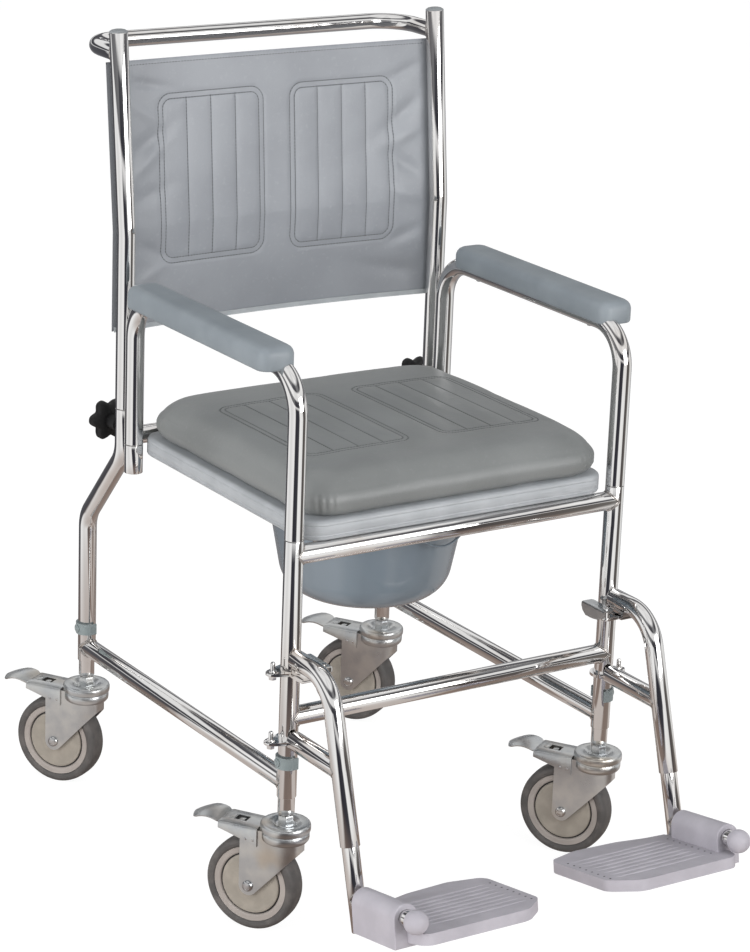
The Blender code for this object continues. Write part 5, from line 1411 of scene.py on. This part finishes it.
def forkRows():
    # a pressed sheet folded round the nose: each column runs from the crown down to the fork's edge
    look = castorLook
    cheek, nose, end, fold = look["cheek"], look["nose"], look["endRadius"], look["fold"]
    trail, axle, top = look["trail"], look["axle"], look["plateLow"] - 0.0004
    half = [trail + end * math.cos(math.radians(a)) for a in range(0, 181, 15)]
    half[0] -= 0.0001
    half += list(np.linspace(trail - end, fold, 9))[1:]
    plan = [(cheek, y) for y in half]
    for k in range(1, 13):
        turn = math.radians(90 * k / 12)
        plan.append((cheek * math.cos(turn) ** 0.62, fold - (fold - nose) * math.sin(turn) ** 0.9))
    slope = math.radians(look["flank"])
    touch = (trail - end * math.sin(slope), axle - end * math.cos(slope))
    rows = [[] for _ in range(10)]
    for x, y in plan + [(-x, y) for x, y in plan[-2::-1]]:
        if y >= touch[0]:
            low = axle - math.sqrt(max(end**2 - (y - trail) ** 2, 0.0))
        else:
            low = touch[1] + (touch[0] - y) * math.tan(slope) * 0.86
        low = min(low, look["crownLow"] - 0.002)
        for k, row in enumerate(rows):
            row.append((x, y, top + (low - top) * (k / 9)))
    return rows


def forkShape():
    look = castorLook
    low, top, edge = look["crownLow"], look["plateLow"] - 0.0005, look["crownRadius"]
    profile = [(0.0064, low), (edge - 0.006, low), (edge - 0.0022, low + 0.0012)]
    profile += [(edge - 0.0004, low + 0.0036), (edge, low + 0.006)]
    profile += [(edge, top - 0.0012), (edge - 0.0012, top), (0.0064, top)]
    return merged(turned(profile, 64), sheetMetal(forkRows(), look["metal"]))


def houseShape():
    # the brake's cover: a channel with a square window and a tab folded up behind it
    look = castorLook
    half, top, start, end = look["houseHalf"], look["houseTop"], look["houseStart"], look["houseEnd"]
    across = [(-half, None), (-half, top - 0.0040), (-half + 0.0012, top - 0.0012), (-half + 0.0040, top)]
    across += [(-0.0075, top), (0.0075, top)]
    across += [(half - 0.0040, top), (half - 0.0012, top - 0.0012), (half, top - 0.0040), (half, None)]
    rows = []
    for s in (start, 0.036, 0.044, 0.053, 0.0700, 0.0785, end - 0.002, end):
        share = (s - start) / (end - start)
        skirt = 0.1205 + 0.0158 * share ** 0.9
        drop = 0.0006 if s == end else 0.0
        rows.append([(x, s, skirt if z is None else z - drop) for x, z in across])
    channel = sheetMetal(rows, 0.0020, lambda i, j: i == 3 and j == 4)
    tab = block((-0.0068, 0.0708), (0.0068, 0.0780), top - 0.0004, top + 0.0011, 0.0004)
    lug = block((-0.0034, 0.0575), (0.0034, 0.0650), top - 0.0060, top - 0.0010, 0.0005)
    return merged(channel, tab, lug)


def pedalShape():
    look = castorLook
    rows = []
    for s, z, half in look["pedal"]:
        share = max(0.0, (s - 0.085) / 0.045)
        row = []
        for k in range(13):
            u = k / 6 - 1
            droop = 0.0030 * share * u * u * (1.2 - share * 0.4)
            row.append((u * half, s - 0.004 * share * u * u, z - droop))
        rows.append(row)
    half, y, z = look["pivotHalf"], look["pivot"], look["pivotZ"]
    pin = bar((-half, y, z), (half, y, z), look["pivotRadius"], count=16)
    return merged(sheetMetal(rows, 0.0018), pin)


def tyreShape():
    look = castorLook
    half, outer, inner = look["tyreHalf"], look["wheel"], look["tyreInner"]
    profile = [(inner, -half * 0.86), (inner + 0.002, -half * 0.93), (inner + 0.005, -half * 0.99)]
    profile += [(outer - 0.0055, -half), (outer - 0.0030, -half * 0.93), (outer - 0.0011, -half * 0.78)]
    profile += [(outer - 0.0003, -half * 0.55), (outer, -half * 0.25)]
    return turned(bothWays(profile), 96)


def hubShapes():
    # the rim, the disc that covers the bearing, and the core that shows as a ring between them, painted
    # near black as the shade in that gap
    counts = {"rim": 96, "disc": 96, "core": 64}
    return [turned(bothWays(castorLook[part]), count) for part, count in counts.items()]


def axleShape():
    head = lifted(castorLook["head"], castorLook["cheek"] + 0.0002)
    return turned([(radius, -height) for radius, height in head[::-1]] + head, 32)


def addCastor(corner):
    sign, y = corners[corner]
    look = castorLook
    swivel = Matrix.Translation((sign * chair["legX"], y, 0))
    turn = swivel @ Matrix.Rotation(chair["castorAngle"], 4, "Z")
    middle = turn @ Matrix.Translation((0, look["trail"], look["axle"]))
    onAxle = middle @ Matrix.Rotation(math.pi / 2, 4, "Y")

    def add(name, shape, body, finish, matrix, node=None, slotName=None, sharp=35.0):
        nodes = [f"{node}_{corner}"] if node else []
        name, body, slotName = f"{name}_{corner}", f"{body}_{corner}", slotName or finish
        addPiece(name, shape, body, finish, slotName, *nodes, sharp=sharp, matrix=matrix)

    inner, plate = legExtension()
    add("legExtension", inner, "leg", "chrome", swivel, "leg_extension")
    add("castorPlate", plate, "leg", "zinc", swivel)
    body, node = f"castor_{corner}", f"fork_{corner}"
    addPiece(f"{node}_body", forkShape(), body, "zinc", "zinc", node, matrix=turn, sharp=45.0)
    add("brakeHousing", houseShape(), "castor", "zinc", turn, sharp=40.0)
    add("axleBolt", axleShape(), "castor", "steel", onAxle, "axle_bolt")
    add("pedal", pedalShape(), "brake", "zinc", turn, "brake_pedal", sharp=50.0)
    rim, disc, core = hubShapes()
    add("tyre", tyreShape(), "wheel", "tyre", onAxle, "wheel_tyre", sharp=60.0)
    add("wheelRim", rim, "wheel", "hubRim", onAxle, "wheel_hub", "hub", 50.0)
    add("wheelDisc", disc, "wheel", "hub", onAxle, sharp=50.0)
    # the core is painted shade, near black in the gap between rim and disc
    add("wheelCore", core, "wheel", "paintedShade", onAxle, slotName="hub")
    dots = []
    for flank in (-1, 1):
        for s, z in look["rivetAt"]:
            point = turn @ Vector((flank * look["houseHalf"], s, z))
            dots.append((point, turn.to_3x3() @ Vector((flank, 0, 0))))
    grown(f"rivets_{corner}", dotMesh("rivets", dots), "head", look["rivet"], "steel", body, "zinc")


for corner in corners:
    addCastor(corner)
print("castors made")


# footrests
hangerLook = {
    "top": 0.382, "bendY": 0.094, "bend": 0.055, "lean": math.radians(16.5), "end": 0.181, "start": 0.0138,
    "strut": 0.272, "plate": 0.004, "ear": 0.026, "earRadius": 0.009, "clasp": 0.0185,
    "webHalf": 0.008, "webY": (-0.045, -0.017),
    "upper": (0.363, 0.045), "lower": (0.269, 0.030),  # each bracket's height and reach
}
latchLook = {
    "inward": 0.028, "pinY": -0.034, "tabRadius": 0.006, "tab": (0.361, 0.365),
    "boss": [(0, 0.362), (0.005, 0.362), (0.005, 0.3737), (0, 0.3737)],
    "pin": [(0, 0.370), (0.0028, 0.370), (0.0028, 0.3772), (0.0042, 0.3774), (0.0040, 0.3784),
            (0.0022, 0.3790), (0, 0.3791)],
    "width": 0.018, "front": -0.041, "high": 0.376, "deep": 0.017, "metal": 0.0018,
    # along the lever: (place, how far its side hangs)
    "folds": [(0.0, 0.0077), (0.004, 0.0105), (0.012, 0.015), (0.026, 0.017), (0.040, 0.017),
              (0.047, 0.0120), (0.050, 0.0060)],
}


def hangerY(z):
    return -hangerLook["bendY"] - (hangerLook["top"] - z) * math.tan(hangerLook["lean"])


def bracketShape(z, reach, place):
    # the clamp plate round the leg, with its ear and bolt
    look = hangerLook
    half = look["plate"] / 2
    outline = [(0.010, -reach), (0.0106, -0.01515)] + arc((look["ear"], 0), look["earRadius"], -75, 75, 12)
    outline += arc((0, 0), look["clasp"], 55, 235, 24) + [(-0.010, -reach)]
    plate = slab(outline, z - half, z + half, 0.0007)
    nut = [(0, -0.0080), (0.0050, -0.0080), (0.0055, -0.0072), (0.0055, -half), (0, -half)]
    high = z + half
    shank = [(0, z), (0.0030, z), (0.0030, high + 0.0115), (0.0022, high + 0.0130), (0, high + 0.0132)]
    collar = [(0, 0), (0.0052, 0), (0.0052, 0.0014), (0.0046, 0.0020), (0, 0.0020)]
    ear = Matrix.Translation((look["ear"], 0, 0))
    bolt = [turned(lifted(nut, z), 6, ear), turned(shank, 20, ear), turned(lifted(collar, high), 28, ear)]
    shapes = [plate, *bolt]
    for shape in shapes:
        shape.transform(place)
    return shapes


def addHanger(side):
    sign, look, radius, body = sides[side], hangerLook, tube["radius"], f"hanger_{side}"
    x, top, start = sign * chair["legX"], look["top"], -look["start"]
    path = [(x, start, top), (x, -look["bendY"], top), (x, hangerY(look["end"]), look["end"])]
    bent = sweep(filleted(path, look["bend"], 14), radius, openEnd(radius), openEnd(radius))
    z, strutEnd = look["strut"], hangerY(look["strut"])
    strut = bar((x, start - 0.002, z), (x, strutEnd + 0.003, z), radius, openEnd(radius))
    # the strut's far end is coped to the bent tube, so that the inner tube slides past it
    for vertex in strut.verts:
        if vertex.co.y < strutEnd + radius:
            reach = math.sqrt(max(radius ** 2 - (vertex.co.x - x) ** 2, 0.0)) / math.cos(look["lean"])
            vertex.co.y = hangerY(vertex.co.z) + reach - 0.0006
    half, (near, far) = look["webHalf"], look["webY"]
    web = block((x - half, near), (x + half, far), look["upper"][0], top - radius * 0.5, 0.0005)
    place = Matrix.Translation((x, 0, 0)) @ Matrix.Diagonal((sign, 1, 1, 1))
    shapes = [bent, strut, web] + bracketShape(*look["upper"], place) + bracketShape(*look["lower"], place)
    # the tab, boss and pin that the latch lever turns on
    latch = latchLook
    pivot, y, bow = x - sign * latch["inward"], latch["pinY"], latch["tabRadius"]
    outline = arc((pivot, y), bow, 90 * sign, 90 * sign + 180, 10)
    outline += [(x, y - sign * bow), (x, y + sign * bow)]
    place = Matrix.Translation((pivot, y, 0))
    shapes += [slab(outline, *latch["tab"], 0.0005), turned(latch["boss"], 24, place)]
    shapes.append(turned(latch["pin"], 20, place))
    node = f"footrest_hanger_{side}"
    addPiece(f"hanger_{side}_tube", merged(*shapes), body, "chrome", "chrome", node)
    lean = Vector((0, -math.sin(look["lean"]), -math.cos(look["lean"])))
    bead = weldBead((x, strutEnd, z), (0, 1, 0), lean, radius, radius)
    addPiece(f"hangerWeld_{side}", bead, body, "weld", "chrome", sharp=60.0)


def addLever(side):
    # the folded steel latch beside the leg
    look, sign = latchLook, sides[side]
    half, deep, last = look["width"] / 2, look["deep"], look["folds"][-1][0]
    pivot = sign * (chair["legX"] - look["inward"])
    across = [(-half, -deep), (-half, -0.006), (-half, -0.0015), (-half + 0.0014, -0.0002)]
    across += [(-half + 0.0035, 0.0), (0.0, 0.0), (half, 0.0)]
    rows = []
    for s, drop in look["folds"]:
        row = []
        for u, h in across:
            h = max(h, -drop) if h > -deep else -drop
            inset = 0.0022 if s in (0.0, last) and u == half else 0.0
            row.append((pivot + sign * (u - inset), look["front"] + s, look["high"] + h))
        rows.append(row)
    plate, node = sheetMetal(rows, look["metal"]), f"latch_lever_{side}"
    addPiece(f"latchLever_{side}", plate, f"lever_{side}", "zinc", "zinc", node, sharp=40.0)


footLook = {
    "tilt": math.radians(10.0), "pinZ": 0.118, "pinRadius": 0.0109, "pinLength": 0.124, "pinWall": 0.0014,
    "tail": 0.043, "insert": 0.085, "knob": 0.0155,
    "barrel": 0.018, "barrelStart": 0.0158, "barrelEnd": 0.113, "barrelBase": -0.037, "barrelEdge": 0.0012,
    "top": -0.016, "base": -0.031, "edge": 0.0028, "reach": 0.198, "front": 0.143,
    "ribs": 8, "pitch": 0.013, "ribX": 0.108, "ribY": 0.012,
    "rib": {"Length": 0.077, "Width": 0.0042, "Height": 0.0013},
    "dimpleX": (0.1885, 0.026), "dimple": {"Radius": 0.0015, "Height": 0.00035},
}


def footFrame(side):
    # the pin's root, and the footplate's directions inward, forward and up
    sign, z, tilt = sides[side], footLook["pinZ"], footLook["tilt"]
    origin = Vector((sign * chair["legX"], hangerY(z), z))
    forward, up = Vector((0, -math.cos(tilt), math.sin(tilt))), Vector((0, math.sin(tilt), math.cos(tilt)))
    return origin, Vector((-sign, 0, 0)), forward, up


def addExtension(side):
    origin, _, forward, _ = footFrame(side)
    look, radius, body = footLook, tube["inner"], f"footrest_{side}"
    lean, thin, length = hangerLook["lean"], look["pinRadius"], look["pinLength"]
    along = Vector((0, math.sin(lean), math.cos(lean)))
    rise = (hangerLook["end"] - look["pinZ"]) / math.cos(lean) + look["insert"]
    start, end = origin + along * rise, origin - along * look["tail"]
    inner = bar(start, end, radius, openEnd(radius), blunt(radius, 0.0012))
    start, end = origin + forward * 0.004, origin + forward * length
    tubes = merged(inner, bar(start, end, thin, None, openEnd(thin, wall=look["pinWall"])))
    addPiece(f"extension_{side}", tubes, body, "chrome", "chrome", f"footrest_extension_{side}")
    bead = weldBead(origin, forward, along, thin, radius)
    addPiece(f"pinWeld_{side}", bead, body, "weld", "chrome", sharp=60.0)
    ball, lip = look["knob"], length + 0.0002
    centre = lip + ball * 0.70
    profile = [(0, lip - 0.010), (0.0088, lip - 0.010), (0.0088, lip), (0.0106, lip + 0.0001)]
    for k in range(1, 20):
        turn = math.acos(-0.70) * (1 - k / 20)
        profile.append((ball * math.sin(turn), centre + ball * math.cos(turn)))
    profile.append((0, centre + ball))
    place = Matrix.Translation(origin) @ forward.to_track_quat("Z", "Y").to_matrix().to_4x4()
    knob, node = turned(profile, 40, place), f"footrest_knob_{side}"
    addPiece(f"footKnob_{side}", knob, body, "footplate", "footplate", node, sharp=50.0)


def smoothed(points, radius=0.006, steps=5):
    # rounds every corner of a closed outline
    path = []
    count = len(points)
    for k in range(count):
        before, corner, after = (Vector((*points[(k + n) % count], 0)) for n in (-1, 0, 1))
        back, ahead = before - corner, after - corner
        cut = min(radius, back.length * 0.45, ahead.length * 0.45)
        start, end = corner + back.normalized() * cut, corner + ahead.normalized() * cut
        for n in range(steps + 1):
            t = n / steps
            p = start * (1 - t) ** 2 + corner * 2 * t * (1 - t) + end * t**2
            path.append((p.x, p.y))
    return path


def addFootplate(side):
    origin, inward, forward, up = footFrame(side)
    look, body = footLook, f"footplate_{side}"
    turn = Matrix((inward, forward, up)).transposed().to_4x4()
    place = Matrix.Translation(origin) @ turn
    reach, front, top, radius = look["reach"], look["front"], look["top"], look["barrel"]
    start, end, soft = look["barrelStart"], look["barrelEnd"], look["barrelEdge"]
    edge = [(0.012, -0.002), (0.045, -0.006), (0.085, -0.018), (0.150, -0.023), (reach - 0.006, -0.010)]
    edge += [(reach, 0.000), (reach, 0.110), (reach - 0.008, 0.120), (0.166, front - 0.003), (0.156, front)]
    edge += [(0.016, front), (0.006, front - 0.008), (0.000, end), (0.000, start)]
    plate = slab(smoothed(edge), look["base"], top, look["edge"], 4)
    outline = [(-radius, look["barrelBase"]), (radius * 0.94, look["barrelBase"]), (radius, -0.014)]
    outline += arc((0, 0), radius, 0, 180, 20)
    turns, hole = [math.atan2(b, a) for a, b in outline], look["pinRadius"] + 0.0005
    barrel = bmesh.new()
    loops = []
    for v, inset in ((start, soft), (start + soft, 0.0), (end - soft, 0.0), (end, soft)):
        scale = 1 - inset / radius
        loops.append([barrel.verts.new((a * scale, v, b * scale)) for a, b in outline])
    for v in (end, start):
        loops.append([barrel.verts.new((hole * math.cos(t), v, hole * math.sin(t))) for t in turns])
    walls(barrel, loops + loops[:1])
    for shape in (plate, barrel):
        shape.transform(place)
    whole, node = merged(plate, barrel), f"footplate_{side}"
    addPiece(f"footplate_{side}_body", whole, body, "footplate", "footplate", node, sharp=42.0)
    low = bpy.data.meshes.new("ribStart")
    low.from_pydata([(look["ribX"], look["ribY"] + look["pitch"] / 2, top)], [], [])
    values = {"Count": look["ribs"], "Pitch": look["pitch"], **look["rib"]}
    ribs = grown(f"footplateRibs_{side}", low, "rib", values, "footplate", body, "footplate")
    ribs.data.transform(Matrix.Translation(shift) @ place)
    if turn.determinant() < 0:
        ribs.data.flip_normals()
    # dark heads between the ribs: painted shade in the footplate's dimples
    dots = []
    for k in range(look["ribs"]):
        v = look["ribY"] + look["pitch"] * (k + 0.5)
        dots += [(place @ Vector((u, v, top)), up) for u in look["dimpleX"]]
    dimples = dotMesh("dimples", dots)
    grown(f"footplateDimples_{side}", dimples, "head", look["dimple"], "paintedShade", body, "footplate")


for side in sides:
    addHanger(side)
    addLever(side)
    addExtension(side)
    addFootplate(side)
print("footrests made")


# studio
cameraLook = {
    "azimuth": -33.42, "elevation": 17.74, "roll": 2.18, "distance": 4.23613,
    "target": (-0.00051, 0.20048, 0.52719),
    "focal": 3158.34, "tall": 952, "sensor": 36.0,  # the focal length and the frame's height in pixels
}
studioLook = {
    "bounce": (0.74, 0.68, 0.64, 1.0), "floor": (0.93, 0.93, 0.93, 1.0), "shadow": 0.82, "glow": 1.12,
    "floorHalf": 9,
    "horizon": 0.82, "overhead": 0.44, "mirrored": 1.02,
    # the boards that chrome sees near by, as far as the fade goes
    "warm": (0.46, 0.34, 0.28, 1.0), "warmGrain": (0.30, 0.235, 0.20, 1.0),
    "near": (0.30, 1.5), "share": 0.64,
    # what chrome sees round the room, from behind the chair by its left side to the camera and on
    "round": [
        (0.000, (0.30, 0.30, 0.31)), (0.120, (0.10, 0.10, 0.11)), (0.215, (0.07, 0.07, 0.08)),
        (0.232, (1.00, 1.00, 1.00)), (0.330, (0.80, 0.80, 0.80)), (0.430, (1.00, 1.00, 1.00)),
        (0.452, (0.03, 0.03, 0.04)), (0.545, (0.05, 0.05, 0.06)), (0.566, (1.00, 1.00, 1.00)),
        (0.650, (0.90, 0.90, 0.89)), (0.672, (0.07, 0.06, 0.06)), (0.750, (0.16, 0.15, 0.14)),
        (0.775, (0.92, 0.92, 0.91)), (0.850, (0.70, 0.70, 0.70)), (0.900, (0.25, 0.25, 0.26)),
        (1.000, (0.30, 0.30, 0.31)),
    ],
    # and from the horizon up to the ceiling
    "rise": [
        (0.00, (1.00, 1.00, 1.00)), (0.09, (1.00, 1.00, 1.00)), (0.13, (0.03, 0.03, 0.04)),
        (0.30, (0.08, 0.08, 0.09)), (0.36, (1.00, 1.00, 1.00)), (0.58, (1.00, 1.00, 1.00)),
        (0.64, (0.06, 0.06, 0.07)), (0.78, (0.12, 0.12, 0.13)), (0.86, (0.95, 0.95, 0.95)),
        (1.00, (0.90, 0.90, 0.90)),
    ],
    # place, size, power, and whether chrome shows it
    "lamps": {
        "frontSoftbox": ((0.9, -3.3, 1.5), (2.6, 1.8), 74, True),
        "leftSoftbox": ((-3.0, -0.4, 0.9), (1.6, 1.8), 60, False),
        "topSoftbox": ((0.0, 0.2, 3.0), (2.0, 2.0), 13, False),
    },
}


def cameraAxes():
    look = cameraLook
    azimuth, elevation, roll = (math.radians(look[k]) for k in ("azimuth", "elevation", "roll"))
    flat = math.cos(elevation)
    ahead = Vector((-math.sin(azimuth) * flat, math.cos(azimuth) * flat, -math.sin(elevation)))
    right = Vector((math.cos(azimuth), math.sin(azimuth), 0))
    above = right.cross(ahead)
    turnedRight = right * math.cos(roll) + above * math.sin(roll)
    turnedUp = above * math.cos(roll) - right * math.sin(roll)
    return ahead, turnedRight, turnedUp


def addCamera():
    look = cameraLook
    ahead, right, above = cameraAxes()
    data = bpy.data.cameras.new("photoCamera")
    data.sensor_width = look["sensor"]
    data.lens = look["focal"] / look["tall"] * look["sensor"]
    data.clip_end = 50.0
    camera = linked("photoCamera", data)
    matrix = Matrix((right, above, -ahead)).transposed().to_4x4()
    matrix.translation = Vector(look["target"]) + shift - ahead * look["distance"]
    camera.matrix_world = matrix
    bpy.context.scene.camera = camera


def addLamp(name, place, size, power, mirrored):
    data = bpy.data.lights.new(name, "AREA")
    data.shape = "RECTANGLE"
    data.size, data.size_y = size
    data.energy = power
    lamp = linked(name, data)
    lamp.visible_glossy = mirrored
    lamp.location = Vector(place) + shift
    aim = Vector((0, 0.2, 0.55)) + shift - lamp.location
    lamp.rotation_euler = aim.to_track_quat("-Z", "Y").to_euler()


def grey(level):
    return (level, level, level, 1.0)


def rayKinds(nodes):
    # what kind of ray looks: the camera's own, a mirrored one, or one through glass
    outputs = nodes.add("ShaderNodeLightPath").socket.node.outputs
    return [Wire(nodes, outputs[f"Is {kind} Ray"]) for kind in ("Camera", "Glossy", "Transmission")]


def roundRoom(nodes, x, y):
    # the mirrored room by direction, counted from straight behind the chair
    ahead, _, _ = cameraAxes()
    start = math.atan2(-ahead.y, -ahead.x)
    turn = nodes.add("ShaderNodeMath", {"operation": "ARCTAN2"}, {0: y, 1: x})
    share = (turn - start) / (2 * math.pi) + 1.5
    share = share.maths("FRACT", share)
    return nodes.add("ShaderNodeValToRGB", {"stops": studioLook["round"]}, {0: share})


def addWorld():
    look = studioLook
    world = bpy.data.worlds.new("studio")
    bpy.context.scene.world = world
    world.use_nodes = True
    nodes = Nodes(world.node_tree)
    seen, glossy, clear = rayKinds(nodes)
    direction = nodes.add("ShaderNodeTexCoord", output="Generated")
    parts = nodes.add("ShaderNodeSeparateXYZ", None, {0: direction}).socket.node
    x, y, height = (Wire(nodes, parts.outputs[k]) for k in range(3))
    around = roundRoom(nodes, x, y)
    rise = nodes.add("ShaderNodeValToRGB", {"stops": look["rise"]}, {0: height})
    room = nodes.mix(height.fade(0.0, 0.10), around, nodes.mix(0.15, rise, around))
    room = nodes.mix(1.0, room, grey(look["mirrored"]), "MULTIPLY")
    soft = nodes.mix(height.fade(0.05, 0.8), grey(look["horizon"]), grey(look["overhead"]))
    colour = nodes.mix(seen, nodes.mix(glossy.most(clear), soft, room), grey(1.0))
    nodes.tree.links.new(colour.socket, world.node_tree.nodes["Background"].inputs["Color"])


def addFloor():
    # white to the camera with the chair's shadow on it; chrome sees warm boards near by and the room beyond
    look = studioLook
    nodes = Finish("paleFloor", Roughness=0.9)
    seen, glossy, _ = rayKinds(nodes)
    nodes.paint(seen, look["bounce"], look["floor"])
    x, y = nodes.axis(0) - shift.x, nodes.axis(1) - (shift.y + 0.25)
    distance = (x * x + y * y) ** 0.5
    boards = nodes.mix(nodes.noise(7.0, 3.0, (1, 6, 1)), look["warm"], look["warmGrain"])
    around = nodes.mix(1.0, roundRoom(nodes, x, y), grey(look["mirrored"]), "MULTIPLY")
    room = nodes.mix((1 - distance.fade(*look["near"])) * look["share"], around, boards)
    glow = nodes.add("ShaderNodeEmission", None, {"Color": grey(1), "Strength": look["glow"]})
    shown = nodes.add("ShaderNodeEmission", None, {"Color": room, "Strength": 1.0})
    surface = Wire(nodes, nodes.shader.outputs[0])
    blend = nodes.add("ShaderNodeMixShader", None, {0: seen * look["shadow"], 1: surface, 2: glow})
    blend = nodes.add("ShaderNodeMixShader", None, {0: glossy, 1: blend, 2: shown})
    nodes.tree.links.new(blend.socket, nodes.tree.nodes["Material Output"].inputs["Surface"])
    half = look["floorHalf"]
    bm = bmesh.new()
    bm.faces.new(flatLoop(bm, ((-half, -half), (half, -half), (half, half), (-half, half)), 0))
    mesh = bpy.data.meshes.new("floor")
    bm.to_mesh(mesh)
    bm.free()
    mesh.materials.append(nodes.material)
    linked("floor", mesh)


addCamera()
addWorld()
addFloor()
for name, lamp in studioLook["lamps"].items():
    addLamp(name, *lamp)
bpy.context.scene.view_settings.view_transform = "Standard"
print("studio made")
